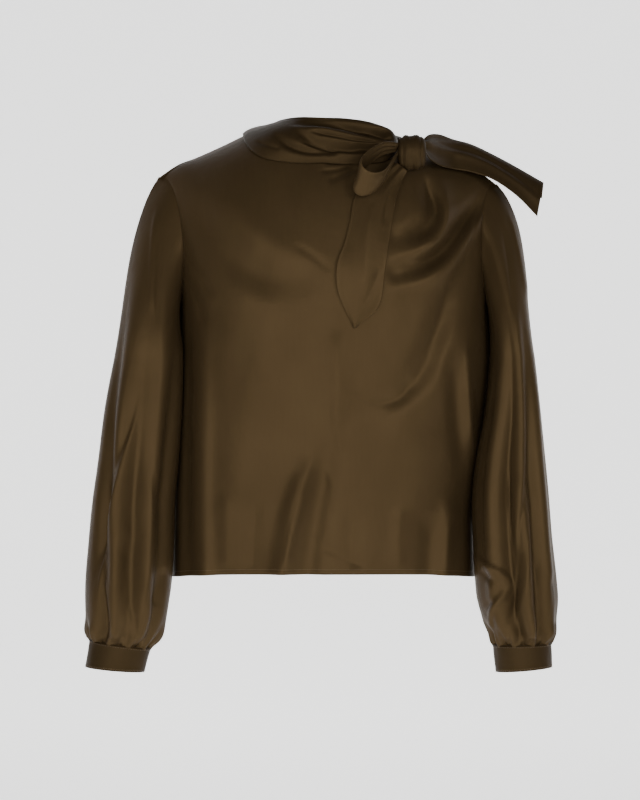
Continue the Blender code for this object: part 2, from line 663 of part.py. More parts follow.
def cloth(name, point, columns, rows, wall, collection, finish, tube=False):
    """A sheet of cloth: a grid laid out by point(u, v) on its outer face, thickened inwards."""
    form = bmesh.new()
    bmesh.ops.create_grid(form, x_segments=columns, y_segments=rows, size=0.5)
    for vertex in form.verts:
        vertex.co = point(vertex.co.x + 0.5, vertex.co.y + 0.5)
    if tube:
        bmesh.ops.remove_doubles(form, verts=form.verts, dist=0.00002)
    mesh = bpy.data.meshes.new(name)
    form.to_mesh(mesh)
    form.free()
    mesh.shade_smooth()
    made = add_object(name, mesh, collection, finish)
    thicken = made.modifiers.new("wall", "SOLIDIFY")
    thicken.thickness = wall
    thicken.offset = -1
    return made


def mirrored(point):
    """The same map with its first direction reversed, which turns the outer face over."""
    return lambda u, v: point(1 - u, v)


def clear_scene():
    for old in list(bpy.data.objects):
        bpy.data.objects.remove(old)


def button(name, side, collection, finish):
    """A small flat button with a raised rim, sewn to the lapped end of the cuff."""
    profile = bpy.data.meshes.new(name)
    rim, face, dish = BUTTON_HEIGHT, BUTTON_HEIGHT * 0.6, BUTTON_RADIUS * 0.62
    points = [
        (0.0, 0.0, face), (dish, 0.0, face), (BUTTON_RADIUS * 0.82, 0.0, rim),
        (BUTTON_RADIUS * 0.95, 0.0, rim * 0.9), (BUTTON_RADIUS, 0.0, rim * 0.5),
        (BUTTON_RADIUS * 0.85, 0.0, 0.0), (0.0, 0.0, 0.0),
    ]
    profile.from_pydata(points, [(k, k + 1) for k in range(len(points) - 1)], [])
    made = add_object(name, profile, collection, finish)
    turn = made.modifiers.new("turned", "SCREW")
    turn.steps = turn.render_steps = 16
    turn.use_merge_vertices = True
    turn.merge_threshold = 0.00001
    place = cuff_point(side)
    middle = 1 - 0.5 * CUFF_LAP / (2 * math.pi + CUFF_LAP)
    here = place(middle, 0.5)
    over = place(middle + 0.005, 0.5) - place(middle - 0.005, 0.5)
    down = place(middle, 0.6) - place(middle, 0.4)
    outward = over.cross(down).normalized() * side
    made.location = here + outward * BUTTON_GAP
    made.rotation_mode = "QUATERNION"
    made.rotation_quaternion = outward.to_track_quat("Z", "Y")
    return made


def main():
    clear_scene()
    collection = bpy.data.collections.new("tie_neck_blouse")
    bpy.context.scene.collection.children.link(collection)
    satin = material("satin", (0.085, 0.052, 0.024), 0.38)
    horn = material("button", (0.045, 0.028, 0.016), 0.30)

    front, columns, rows = panel_point(FRONT)
    cloth("front", front, columns, rows, WALL, collection, satin)
    back, columns, rows = panel_point(BACK)
    cloth("back", mirrored(back), columns, rows, WALL, collection, satin)
    cloth("collar", mirrored(collar_point), COLLAR_AROUND, COLLAR_ROWS, WALL, collection, satin)
    for side, word in SIDE_NAMES.items():
        tube, strip = sleeve_point(side), cuff_point(side)
        if side == RIGHT:
            tube, strip = mirrored(tube), mirrored(strip)
        cloth(f"sleeve_{word}", tube, SLEEVE_AROUND, SLEEVE_ROWS, WALL, collection, satin, tube=True)
        cloth(f"cuff_{word}", strip, CUFF_AROUND, CUFF_ROWS, BAND_WALL, collection, satin)
        button(f"cuff_button_{word}", side, collection, horn)
    add_object("tie_knot", knot_mesh("tie_knot"), collection, satin)
    cloth("tie_loop", loop_point, LOOP_ALONG, LOOP_ACROSS, WALL, collection, satin)
    cloth("tie_tail_front", tail_front_point, TAIL_FRONT_ACROSS, TAIL_FRONT_ALONG, WALL, collection, satin)
    along, wide = TAIL_SHOULDER_ALONG, TAIL_SHOULDER_ACROSS
    cloth("tie_tail_shoulder", tail_shoulder_point, along, wide, WALL, collection, satin)


main()
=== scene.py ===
"""The finished look of a tie neck blouse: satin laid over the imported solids, with folds, hems and stitches.

Metres, +Z up. The front faces -Y and the wearer's left is +X. The cloth follows the same named sizes
as the solids do, on finer grids, and gets its smaller creases here.
"""

import math

import bmesh
import bpy
import numpy as np
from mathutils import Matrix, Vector


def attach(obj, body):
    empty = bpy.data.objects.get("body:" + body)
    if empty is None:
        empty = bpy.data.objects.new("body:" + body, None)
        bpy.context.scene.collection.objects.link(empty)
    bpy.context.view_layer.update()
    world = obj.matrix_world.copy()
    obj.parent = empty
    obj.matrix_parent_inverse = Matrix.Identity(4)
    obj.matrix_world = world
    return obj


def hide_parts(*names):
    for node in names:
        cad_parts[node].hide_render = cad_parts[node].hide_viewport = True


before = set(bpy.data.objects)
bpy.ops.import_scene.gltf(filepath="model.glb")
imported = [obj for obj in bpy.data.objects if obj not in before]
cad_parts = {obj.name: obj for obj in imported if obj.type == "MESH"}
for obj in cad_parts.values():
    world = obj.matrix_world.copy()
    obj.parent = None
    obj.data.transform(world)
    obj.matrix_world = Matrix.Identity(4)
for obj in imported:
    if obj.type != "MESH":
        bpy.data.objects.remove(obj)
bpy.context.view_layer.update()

RIGHT, LEFT = -1, 1
FRONT, BACK = -1, 1
SIDE_NAMES = {RIGHT: "right", LEFT: "left"}

# Walls and gaps
CLOTH = 0.0008
BAND_WALL = 0.0020
BAND = 0.0017
SEAM_GAP = 0.00025
SHOULDER_SEAM_GAP = 0.0006
ARMHOLE_GAP = 0.0002
SEAM_ROLL = 0.00032
SEAM_ROLL_REACH = 0.0028


class Table:
    """Rows of sizes under named columns. A column is read as a smooth curve along the first one."""

    def __init__(self, columns, *rows):
        self.columns = columns
        self.rows = rows

    def column(self, name):
        place = self.columns.index(name)
        return np.array([row[place] for row in self.rows], dtype=float)

    def at(self, station, name):
        xs, ys = self.column(self.columns[0]), self.column(name)
        slopes = np.diff(ys) / np.diff(xs)
        tangents = np.concatenate((slopes[:1], 0.5 * (slopes[1:] + slopes[:-1]), slopes[-1:]))
        station = np.clip(station, xs[0], xs[-1])
        i = np.clip(np.searchsorted(xs, station, side="right") - 1, 0, len(xs) - 2)
        width = xs[i + 1] - xs[i]
        t = (station - xs[i]) / width
        return hermite(ys[i], tangents[i] * width, ys[i + 1], tangents[i + 1] * width, t)


def hermite(start, start_tangent, end, end_tangent, t):
    """A cubic from start to end, leaving and arriving along the two tangents."""
    keep = (1 + 2 * t) * (1 - t) ** 2
    leave = t * (1 - t) ** 2
    reach = t * t * (3 - 2 * t)
    arrive = t * t * (t - 1)
    return start * keep + start_tangent * leave + end * reach + end_tangent * arrive


def mix(a, b, t):
    return a * (1 - t) + b * t


def smooth_step(low, high, value):
    t = np.clip((value - low) / (high - low), 0.0, 1.0)
    return t * t * (3 - 2 * t)


def hump(away, half_width):
    """A smooth hump, 1 high in the middle and gone three half widths away."""
    return np.exp(-((away / half_width) ** 2))


def points(x, y, z):
    """Three arrays of coordinates as one array of points."""
    return np.stack(np.broadcast_arrays(x, y, z), axis=-1).astype(float)


def length_of(vectors):
    return np.linalg.norm(vectors, axis=-1, keepdims=True)


def outward_of(grid):
    """The unit normals of a grid of points, rows by columns, on its outer side."""
    along, up = np.gradient(grid, axis=1), np.gradient(grid, axis=0)
    normals = np.cross(along, up)
    return normals / np.maximum(length_of(normals), 1e-12)


HEM_Z = -0.524
HEM_SIDE_DROP = 0.008
UNDERARM_Z = -0.200
SHOULDER_Y = 0.004

# The body below the arms: half widths towards each arm, and depths in front and behind
TORSO = Table(
    ("z", "right", "left", "front", "back"),
    (-0.532, 0.1895, 0.1900, 0.130, 0.112),
    (-0.440, 0.1865, 0.1880, 0.130, 0.110),
    (-0.360, 0.1825, 0.1985, 0.132, 0.108),
    (-0.260, 0.1785, 0.2085, 0.135, 0.108),
    (-0.200, 0.1785, 0.2055, 0.133, 0.108),
)
ROUNDNESS = 2.25

# The shoulder line on each side, from the middle of the neck hole, where no cloth is, to the shoulder point
SHOULDER = {
    RIGHT: Table(
        ("out", "z"),
        (0.000, 0.0400),
        (0.060, 0.0340),
        (0.092, 0.0215),
        (0.122, 0.0070),
        (0.160, -0.0100),
        (0.181, -0.0180),
        (0.205, -0.0340),
    ),
    LEFT: Table(
        ("out", "z"),
        (0.000, 0.0400),
        (0.060, 0.0300),
        (0.092, 0.0155),
        (0.122, 0.0050),
        (0.160, -0.0105),
        (0.190, -0.0235),
        (0.217, -0.0430),
    ),
}
SHOULDER_OUT = {RIGHT: 0.205, LEFT: 0.217}
NECK_OUT = 0.092
NECK_DIP = {FRONT: 0.365, BACK: 0.185}
ARMHOLE_DIP = {FRONT: 0.062, BACK: 0.045}
ARMHOLE_CURVE = 0.85

# Soft ridges (height above 0) and troughs (below 0): height, half width, the share of the height
# that is left at the end, and a path of (x, z) seen from the front
FRONT_FOLDS = (
    ("chest sweep", -0.0060, 0.022, 0.2, (
        (-0.189, -0.046), (-0.150, -0.096), (-0.107, -0.140), (-0.070, -0.162), (-0.028, -0.162))),
    ("above the sweep", 0.0030, 0.020, 0.3, (
        (-0.168, -0.035), (-0.112, -0.082), (-0.050, -0.131), (0.005, -0.146))),
    ("below the sweep", 0.0025, 0.022, 0.3, (
        (-0.168, -0.103), (-0.127, -0.169), (-0.068, -0.199), (-0.010, -0.204))),
    ("under the knot", -0.0105, 0.010, 0.2, (
        (0.124, -0.034), (0.129, -0.058), (0.136, -0.080),
        (0.134, -0.092), (0.122, -0.104), (0.090, -0.115))),
    ("cowl ridge", 0.0105, 0.011, 0.15, (
        (0.146, -0.034), (0.151, -0.075), (0.149, -0.097),
        (0.138, -0.117), (0.117, -0.131), (0.090, -0.139))),
    ("cowl trough", -0.0150, 0.012, 0.3, (
        (0.208, -0.038), (0.180, -0.083), (0.160, -0.112),
        (0.136, -0.137), (0.117, -0.149), (0.090, -0.158))),
    ("cowl lower ridge", 0.0090, 0.012, 0.2, (
        (0.217, -0.052), (0.199, -0.082), (0.173, -0.118),
        (0.154, -0.146), (0.129, -0.163), (0.090, -0.174))),
    ("long drape trough", -0.0060, 0.013, 0.15, (
        (0.210, -0.077), (0.196, -0.114), (0.174, -0.148), (0.156, -0.183),
        (0.135, -0.241), (0.113, -0.284), (0.087, -0.312), (0.034, -0.330))),
    ("long drape ridge", 0.0045, 0.018, 0.2, (
        (0.193, -0.172), (0.168, -0.242), (0.141, -0.300), (0.097, -0.344))),
    ("front ridge", 0.0090, 0.012, 1.0, ((-0.013, -0.378), (-0.036, -0.445), (-0.051, -0.527))),
    ("front trough", -0.0070, 0.013, 1.0, ((0.009, -0.358), (-0.008, -0.446), (-0.019, -0.528))),
    ("left side ridge", 0.0070, 0.009, 0.3, ((0.176, -0.227), (0.179, -0.315), (0.189, -0.399))),
    ("left side trough", -0.0060, 0.010, 0.3, ((0.158, -0.242), (0.163, -0.330), (0.173, -0.428))),
    ("left hem ridge", 0.0070, 0.010, 1.0, ((0.153, -0.418), (0.150, -0.530))),
    ("left hem trough", -0.0050, 0.011, 1.0, ((0.131, -0.447), (0.127, -0.529))),
    ("right side trough", -0.0070, 0.010, 1.0, ((-0.164, -0.182), (-0.166, -0.349), (-0.165, -0.531))),
    ("right side ridge", 0.0070, 0.012, 1.0, ((-0.146, -0.193), (-0.148, -0.378), (-0.147, -0.530))),
)
BACK_FOLDS = (
    ("yoke drag right", -0.0050, 0.016, 0.3, ((-0.165, -0.080), (-0.120, -0.150), (-0.090, -0.240))),
    ("yoke drag left", -0.0050, 0.016, 0.3, ((0.170, -0.085), (0.125, -0.160), (0.098, -0.250))),
    ("back trough right", -0.0070, 0.018, 1.0, ((-0.060, -0.230), (-0.066, -0.380), (-0.072, -0.535))),
    ("back trough left", -0.0070, 0.018, 1.0, ((0.048, -0.260), (0.052, -0.400), (0.060, -0.535))),
    ("back ridge", 0.0070, 0.020, 1.0, ((-0.008, -0.200), (-0.006, -0.380), (-0.006, -0.535))),
    ("side back ridge right", 0.0060, 0.016, 1.0, ((-0.128, -0.250), (-0.130, -0.535))),
    ("side back ridge left", 0.0060, 0.016, 1.0, ((0.120, -0.270), (0.124, -0.535))),
)
FOLDS = {FRONT: FRONT_FOLDS, BACK: BACK_FOLDS}
FOLD_FADE = 0.35

# Finer creases than the solids carry: height, half width, lean to the path's left, and the path
FRONT_CREASES = (
    ("cowl light line", 0.0024, 0.0034, 0.3, (
        (0.148, -0.044), (0.151, -0.074), (0.150, -0.095), (0.140, -0.115), (0.118, -0.129))),
    ("knot dark line", -0.0044, 0.0032, 0.5, (
        (0.123, -0.034), (0.129, -0.056), (0.137, -0.075), (0.136, -0.093))),
    ("cowl dark line", -0.0030, 0.0050, 0.3, (
        (0.197, -0.056), (0.167, -0.100), (0.143, -0.132), (0.111, -0.151))),
    ("lower light line", 0.0020, 0.0040, 0.3, (
        (0.210, -0.063), (0.194, -0.088), (0.172, -0.121), (0.150, -0.156))),
    ("long drape line", -0.0024, 0.0044, 0.3, (
        (0.193, -0.096), (0.173, -0.139), (0.153, -0.178), (0.136, -0.227), (0.118, -0.264))),
    ("hem light line", 0.0032, 0.0040, 0.3, (
        (-0.023, -0.413), (-0.029, -0.441), (-0.038, -0.474), (-0.048, -0.523))),
    ("centre light crease", 0.0016, 0.0040, 0.5, ((0.013, -0.309), (0.018, -0.362), (0.023, -0.379))),
    ("centre lower crease", 0.0014, 0.0035, 0.4, ((0.002, -0.392), (0.007, -0.407), (0.011, -0.421))),
    ("crease by the tail", -0.0016, 0.0030, 0.4, ((-0.038, -0.123), (-0.013, -0.139), (0.008, -0.158))),
    ("hem crease", -0.0018, 0.0050, 0.3, ((-0.006, -0.488), (0.020, -0.501), (0.052, -0.516))),
    ("centre soft ridge", 0.0026, 0.0100, 0.2, ((0.016, -0.222), (0.017, -0.289), (0.020, -0.349))),
    ("side ridge", 0.0030, 0.0050, 0.3, ((0.175, -0.227), (0.179, -0.315), (0.190, -0.400))),
    ("hem ridge", 0.0030, 0.0060, 0.3, ((0.158, -0.435), (0.153, -0.484), (0.150, -0.526))),
    ("knot crease high", -0.0034, 0.0040, 0.2, ((-0.001, -0.023), (0.018, -0.022), (0.040, -0.017))),
    ("knot crease middle", -0.0034, 0.0040, 0.2, ((-0.006, -0.034), (0.018, -0.031), (0.040, -0.023))),
    ("knot crease low", -0.0034, 0.0045, 0.2, ((0.004, -0.047), (0.023, -0.038), (0.043, -0.028))),
    ("sweep by the tail", -0.0030, 0.0090, 0.2, (
        (0.024, -0.293), (0.059, -0.313), (0.091, -0.310), (0.113, -0.283))),
    ("armhole drag left low", -0.0035, 0.0045, 0.4, ((0.212, -0.084), (0.202, -0.127), (0.196, -0.189))),
    ("armhole drag left high", -0.0030, 0.0045, 0.4, ((0.206, -0.051), (0.192, -0.084), (0.180, -0.122))),
    ("armhole drag right low", -0.0030, 0.0060, 0.3, ((-0.194, -0.140), (-0.164, -0.171), (-0.143, -0.227))),
    ("armhole drag right high", -0.0028, 0.0060, 0.3, ((-0.191, -0.095), (-0.163, -0.143), (-0.133, -0.191))),
    ("right side line", 0.0026, 0.0050, 0.3, ((-0.161, -0.182), (-0.160, -0.313), (-0.159, -0.522))),
    ("hem wave one", 0.0026, 0.0110, 0.0, ((-0.119, -0.420), (-0.118, -0.525))),
    ("hem wave two", -0.0026, 0.0110, 0.0, ((-0.081, -0.430), (-0.086, -0.525))),
    ("hem wave three", 0.0026, 0.0100, 0.0, ((0.093, -0.436), (0.091, -0.525))),
    ("hem wave four", -0.0022, 0.0100, 0.0, ((0.035, -0.442), (0.033, -0.524))),
)
BACK_CREASES = (
    ("neck drag right", -0.0030, 0.0060, 0.2, ((-0.060, -0.010), (-0.048, -0.060), (-0.044, -0.130))),
    ("neck drag left", -0.0030, 0.0060, 0.2, ((0.070, -0.014), (0.052, -0.070), (0.046, -0.150))),
    ("armhole drag right", -0.0035, 0.0055, 0.3, ((-0.190, -0.110), (-0.162, -0.165), (-0.146, -0.240))),
    ("armhole drag left", -0.0035, 0.0055, 0.3, ((0.198, -0.110), (0.170, -0.170), (0.152, -0.250))),
    ("waist crease right", 0.0024, 0.0050, 0.3, ((-0.098, -0.250), (-0.100, -0.370), (-0.108, -0.500))),
    ("waist crease left", 0.0024, 0.0050, 0.3, ((0.088, -0.280), (0.090, -0.390), (0.098, -0.510))),
    ("hem wave right", 0.0026, 0.0110, 0.0, ((-0.032, -0.420), (-0.030, -0.526))),
    ("hem wave left", -0.0024, 0.0110, 0.0, ((0.022, -0.430), (0.026, -0.526))),
    ("side crease right", 0.0028, 0.0060, 0.3, ((-0.160, -0.230), (-0.160, -0.380), (-0.158, -0.520))),
    ("side crease left", 0.0028, 0.0060, 0.3, ((0.170, -0.250), (0.164, -0.390), (0.160, -0.520))),
)
CREASES = {FRONT: FRONT_CREASES, BACK: BACK_CREASES}
PATH_STEPS = 25


def smooth_path(path):
    """A path of a few points as a smooth curve of many."""
    runs = [math.dist(a, b) for a, b in zip(path, path[1:])]
    along = np.concatenate(([0.0], np.cumsum(runs)))
    curve = Table(("along", "x", "z"), *[(s, *spot) for s, spot in zip(along, path)])
    stations = np.linspace(0.0, along[-1], PATH_STEPS)
    return np.stack((curve.at(stations, "x"), curve.at(stations, "z")), axis=-1)


def path_distance(path, x, z):
    """How far each (x, z) lies from a path, above 0 on its left, and how far along it, from 0 to 1."""
    curve = smooth_path(path)
    nearest = np.full(x.shape, np.inf)
    signed, along = np.zeros(x.shape), np.zeros(x.shape)
    for k, (start, end) in enumerate(zip(curve, curve[1:])):
        run = end - start
        t = np.clip(((x - start[0]) * run[0] + (z - start[1]) * run[1]) / (run @ run), 0.0, 1.0)
        right, up = x - start[0] - t * run[0], z - start[1] - t * run[1]
        away = np.hypot(right, up)
        closer = away < nearest
        nearest = np.where(closer, away, nearest)
        signed = np.where(closer, away * np.where(run[0] * up - run[1] * right >= 0, 1.0, -1.0), signed)
        along = np.where(closer, (k + t) / (len(curve) - 1), along)
    return signed, along


def fold_height(folds, x, z):
    """The sum of the soft ridges and troughs at each (x, z). Each fades in, and to its share at the end."""
    height = np.zeros(x.shape)
    for _, size, half_width, left_over, path in folds:
        signed, along = path_distance(path, x, z)
        fade = smooth_step(-0.05, FOLD_FADE, along)
        fade *= mix(left_over, 1.0, smooth_step(1.0, 1 - FOLD_FADE, along))
        height += size * fade * hump(signed, half_width)
    return height


def crease_height(creases, x, z):
    """The sum of the fine creases at each (x, z). Each is steeper on one side and fades at both ends."""
    height = np.zeros(x.shape)
    for _, size, half_width, lean, path in creases:
        signed, along = path_distance(path, x, z)
        width = half_width * np.where(signed > 0, 1 + lean, 1 - lean)
        fade = smooth_step(0.0, 0.25, along) * smooth_step(1.0, 0.82, along)
        height += size * fade * np.exp(-((np.abs(signed) / width) ** 1.6))
    return height


def neck_share(side):
    return NECK_OUT / SHOULDER_OUT[side]


def by_side(across, right, left):
    return np.where(across >= 0, left, right)


def torso_depth(face, z):
    return TORSO.at(z, "front" if face == FRONT else "back")


def rounded(share):
    """How deep an ellipse-like section is at a share of its half width."""
    return np.maximum(0.0, 1 - np.abs(share) ** ROUNDNESS) ** (1 / ROUNDNESS)


# How the panel's curve leaves the chest and arrives at the shoulder, as shares of the way in x, y and z
CHEST_PULL = (0, 0, 1.25)
SHOULDER_PULL = (1.0, 2.3, 0.2)

# From this height and share the folds fade out towards the shoulder line and the sides
FOLDS_FULL_HEIGHT = 1.8
FOLDS_FULL_SHARE = 0.9


def body_form(face, across, height):
    """A point of the body without its folds.

    across runs from -1 at the wearer's right to 1 at the left; height from 0 at the hem to 1 at
    the arm's level and 2 at the shoulder line, which runs on over the neck hole.
    """
    across, height = np.broadcast_arrays(np.asarray(across, float), np.asarray(height, float))
    share = np.abs(across)
    z = mix(HEM_Z - HEM_SIDE_DROP * share**4, UNDERARM_Z, np.minimum(height, 1.0))
    half_width = by_side(across, TORSO.at(z, "right"), TORSO.at(z, "left"))
    low = points(across * half_width, face * torso_depth(face, z) * rounded(share), z)
    out = share * by_side(across, SHOULDER_OUT[RIGHT], SHOULDER_OUT[LEFT])
    top_z = by_side(across, SHOULDER[RIGHT].at(out, "z"), SHOULDER[LEFT].at(out, "z"))
    top = points(np.sign(across) * out, SHOULDER_Y, top_z)
    shift = top - low
    leave, arrive = shift * CHEST_PULL, shift * SHOULDER_PULL
    return hermite(low, leave, top, arrive, np.maximum(height - 1, 0.0)[..., None])


def body_point(face, across, height, fine=False):
    """A point of the body's outer surface, with its folds, and with its fine creases where asked."""
    form = body_form(face, across, height)
    x, z = form[..., 0], form[..., 2]
    raised = fold_height(FOLDS[face], x, z)
    if fine:
        raised = raised + crease_height(CREASES[face], x, z) + drape_wave(x, z)
    near_shoulder = smooth_step(2.0, FOLDS_FULL_HEIGHT, np.asarray(height, float))
    near_side = smooth_step(1.0, FOLDS_FULL_SHARE, np.abs(across))
    form[..., 1] += face * raised * near_shoulder * near_side
    return form


# Unevenness of hanging cloth: height, then two waves that cross, as radians a metre along x and z and a start
DRAPE_WAVES = (
    (0.0007, (61, 9, 0.0), (23, 11, 1.3)),
    (0.0004, (103, -17, 0.7), (-31, 19, 0.0)),
)


def drape_wave(x, z):
    """The slight unevenness of hanging cloth: long waves down it and a few across."""
    total = 0.0
    for height, first, second in DRAPE_WAVES:
        waves = [np.sin(over * x + down * z + start) for over, down, start in (first, second)]
        total = total + height * waves[0] * waves[1]
    return total


def body_normal(face, across, height):
    """The outward direction of the body's surface."""
    step = 0.004
    over = body_point(face, across + step, height) - body_point(face, across - step, height)
    up = body_point(face, across, np.minimum(2.0, height + step)) - body_point(face, across, height - step)
    normals = np.cross(over, up) * -face
    return normals / length_of(normals)


def body_spot(x, z):
    """Where (x, z), seen from the front, lies on the front of the body, as (across, height)."""
    low, high = np.zeros(x.shape), np.full(x.shape, 2.0)
    for _ in range(24):
        height = 0.5 * (low + high)
        level = mix(HEM_Z, UNDERARM_Z, np.minimum(height, 1.0))
        width = by_side(x, TORSO.at(level, "right"), TORSO.at(level, "left"))
        shoulder = by_side(x, SHOULDER_OUT[RIGHT], SHOULDER_OUT[LEFT])
        width = mix(width, shoulder, np.maximum(height - 1, 0.0))
        across = np.clip(x / width, -1.0, 1.0)
        below = body_form(FRONT, across, height)[..., 2] < z
        low, high = np.where(below, height, low), np.where(below, high, height)
    return across, 0.5 * (low + high)


def armhole_share(face, rise):
    """How far out the panel reaches at a height within the armhole, as a share of the half width."""
    return 1 - ARMHOLE_DIP[face] * np.maximum(0.0, 4 * rise * (1 - rise)) ** ARMHOLE_CURVE


def seam_roll(grid, edges):
    """The same grid with its cloth rolled in a little along the named edges, where it is seamed."""
    inward = np.zeros(grid.shape[:2])
    lines = {"left": grid[:, :1], "right": grid[:, -1:], "low": grid[:1], "high": grid[-1:]}
    for edge in edges:
        away = length_of(grid - lines[edge])[..., 0]
        inward = np.maximum(inward, hump(away, SEAM_ROLL_REACH))
    return grid - outward_of(grid) * inward[..., None] * SEAM_ROLL


def tucked(grid, edge, shifts):
    """The same grid with rows or columns added past an edge, which lie under the neighbouring piece."""
    line = {"low": grid[:1], "high": grid[-1:], "left": grid[:, :1], "right": grid[:, -1:]}[edge]
    added = [line + shift for shift in shifts]
    if edge in ("low", "left"):
        parts = added[::-1] + [grid]
    else:
        parts = [grid] + added
    return np.concatenate(parts, axis=0 if edge in ("low", "high") else 1)


NECK_CURVE = 5.0
SIDE_TUCKS = (0.0015, 0.004)
SHOULDER_TUCKS = (0.003, 0.008)
PANEL_GRID = {
    FRONT: {"neck": 76, "shoulder": 56, "low rows": 104, "armhole rows": 84},
    BACK: {"neck": 48, "shoulder": 38, "low rows": 72, "armhole rows": 56},
}


def panel(face):
    """The front or back as a grid of points, from the hem up and from one side seam to the other."""
    counts = PANEL_GRID[face]
    quarter = 0.5 * math.pi
    shares = []
    for side in (RIGHT, LEFT):
        edge = neck_share(side)
        half_neck = counts["neck"] // 2
        inner = edge * np.sin(quarter * np.arange(1, half_neck + 1) / half_neck)
        outer = mix(edge, 1.0, np.sin(quarter * np.arange(1, counts["shoulder"] + 1) / counts["shoulder"]))
        shares.append(side * np.concatenate((inner, outer)))
    across = np.concatenate((shares[0][::-1], [0.0], shares[1]))[None, :]
    low = np.linspace(0.0, 1.0, counts["low rows"] + 1)[:-1]
    rise = 0.5 - 0.5 * np.cos(np.linspace(0.0, math.pi, counts["armhole rows"] + 1))
    rise = np.concatenate((np.zeros(len(low)), rise))[:, None]
    low = np.concatenate((low, np.ones(counts["armhole rows"] + 1)))[:, None]
    from_middle = np.abs(across / by_side(across, neck_share(RIGHT), neck_share(LEFT)))
    inside_neck = np.maximum(0.0, 1 - from_middle**NECK_CURVE)
    height = low + rise * (1 - NECK_DIP[face] * inside_neck * rise)
    grid = body_point(face, across * armhole_share(face, rise), height, fine=True)
    grid[..., 1] += face * (SEAM_GAP + SHOULDER_SEAM_GAP * smooth_step(1.7, 1.95, height))
    if face == FRONT:
        return seam_roll(grid, ("left", "right"))
    grid = seam_roll(grid[:, ::-1], ("left", "right"))
    below_arm = smooth_step(0.02, 0.0, rise)[..., None]
    for edge, side in (("left", LEFT), ("right", RIGHT)):
        steps = [points(-side * reach, -reach, 0.0) * below_arm for reach in SIDE_TUCKS]
        grid = tucked(grid, edge, steps)
    on_shoulder = smooth_step(0.98, 1.0, from_middle)[..., ::-1, None]
    added = len(SIDE_TUCKS)
    on_shoulder = np.pad(on_shoulder, ((0, 0), (added, added), (0, 0)), mode="edge")
    under_front = [points(0.0, -reach, -0.25 * reach) * on_shoulder for reach in SHOULDER_TUCKS]
    return tucked(grid, "high", under_front)


# The sleeves below the armhole: outer and inner edge from the centre line, middle and half depth
SLEEVE = {
    RIGHT: Table(
        ("z", "outer", "inner", "middle", "depth"),
        (-0.6110, 0.2870, 0.2125, -0.058, 0.0350),
        (-0.5990, 0.2910, 0.2010, -0.057, 0.0445),
        (-0.5840, 0.2920, 0.1950, -0.056, 0.0510),
        (-0.5595, 0.2930, 0.1900, -0.054, 0.0570),
        (-0.5350, 0.2930, 0.1865, -0.052, 0.0600),
        (-0.4855, 0.2890, 0.1830, -0.049, 0.0610),
        (-0.4360, 0.2845, 0.1820, -0.046, 0.0610),
        (-0.3870, 0.2780, 0.1780, -0.043, 0.0600),
        (-0.3250, 0.2700, 0.1730, -0.039, 0.0600),
        (-0.2600, 0.2590, 0.1690, -0.032, 0.0610),
    ),
    LEFT: Table(
        ("z", "outer", "inner", "middle", "depth"),
        (-0.6110, 0.2805, 0.2095, -0.058, 0.0350),
        (-0.5990, 0.2855, 0.2055, -0.057, 0.0445),
        (-0.5840, 0.2880, 0.1985, -0.056, 0.0510),
        (-0.5595, 0.2905, 0.1905, -0.054, 0.0570),
        (-0.5350, 0.2890, 0.1875, -0.052, 0.0600),
        (-0.4855, 0.2840, 0.1845, -0.048, 0.0610),
        (-0.4360, 0.2800, 0.1835, -0.043, 0.0620),
        (-0.3870, 0.2755, 0.1890, -0.038, 0.0620),
        (-0.3250, 0.2700, 0.2000, -0.033, 0.0620),
        (-0.2600, 0.2630, 0.2060, -0.027, 0.0610),
    ),
}
UPPER_ARM_Z = -0.260
SLEEVE_END_Z = -0.6120
SLEEVE_END_TILT = {RIGHT: math.radians(8.0), LEFT: math.radians(1.5)}
SLEEVE_CAP_ROWS = 6
SLEEVE_HEAD_FLARE = {RIGHT: 0.62, LEFT: 0.90}
SLEEVE_ROWS = 21
CUFF_HEIGHT = 0.0315
CUFF_SWING = {RIGHT: math.radians(12.0), LEFT: math.radians(4.5)}
CUFF_HEM_TILT = {RIGHT: math.radians(5.0), LEFT: math.radians(5.0)}
CUFF_SEAM_GAP = 0.0004
CUFF_LAP = math.radians(30)
CUFF_OPENING = math.radians(-118)
CUFF_LAP_RISE = BAND_WALL + 0.0004
BODY_CLEARANCE = 0.0025
GATHERS = 10
GATHER_HEIGHT = 0.0032

# Long soft folds of the sleeves: where round the arm, in degrees from the outer side towards the
# front, at the top and at the cuff, then the half width there and the height
SLEEVE_FOLDS = {
    RIGHT: (
        ("outer fold", 22, 66, 11, -0.0100),
        ("outer ridge", 44, 88, 12, 0.0080),
        ("middle fold", 78, 104, 10, -0.0070),
        ("inner ridge", 112, 122, 12, 0.0070),
        ("inner fold", 136, 140, 11, -0.0060),
        ("back fold", -70, -60, 15, -0.0080),
        ("back ridge", -105, -100, 16, 0.0070),
    ),
    LEFT: (
        ("outer ridge", 40, 44, 12, 0.0060),
        ("outer fold", 58, 62, 10, -0.0080),
        ("front ridge", 78, 80, 11, 0.0080),
        ("front fold", 98, 101, 10, -0.0100),
        ("inner ridge", 120, 126, 12, 0.0070),
        ("back fold", -75, -66, 15, -0.0080),
        ("back ridge", -110, -104, 16, 0.0070),
    ),
}

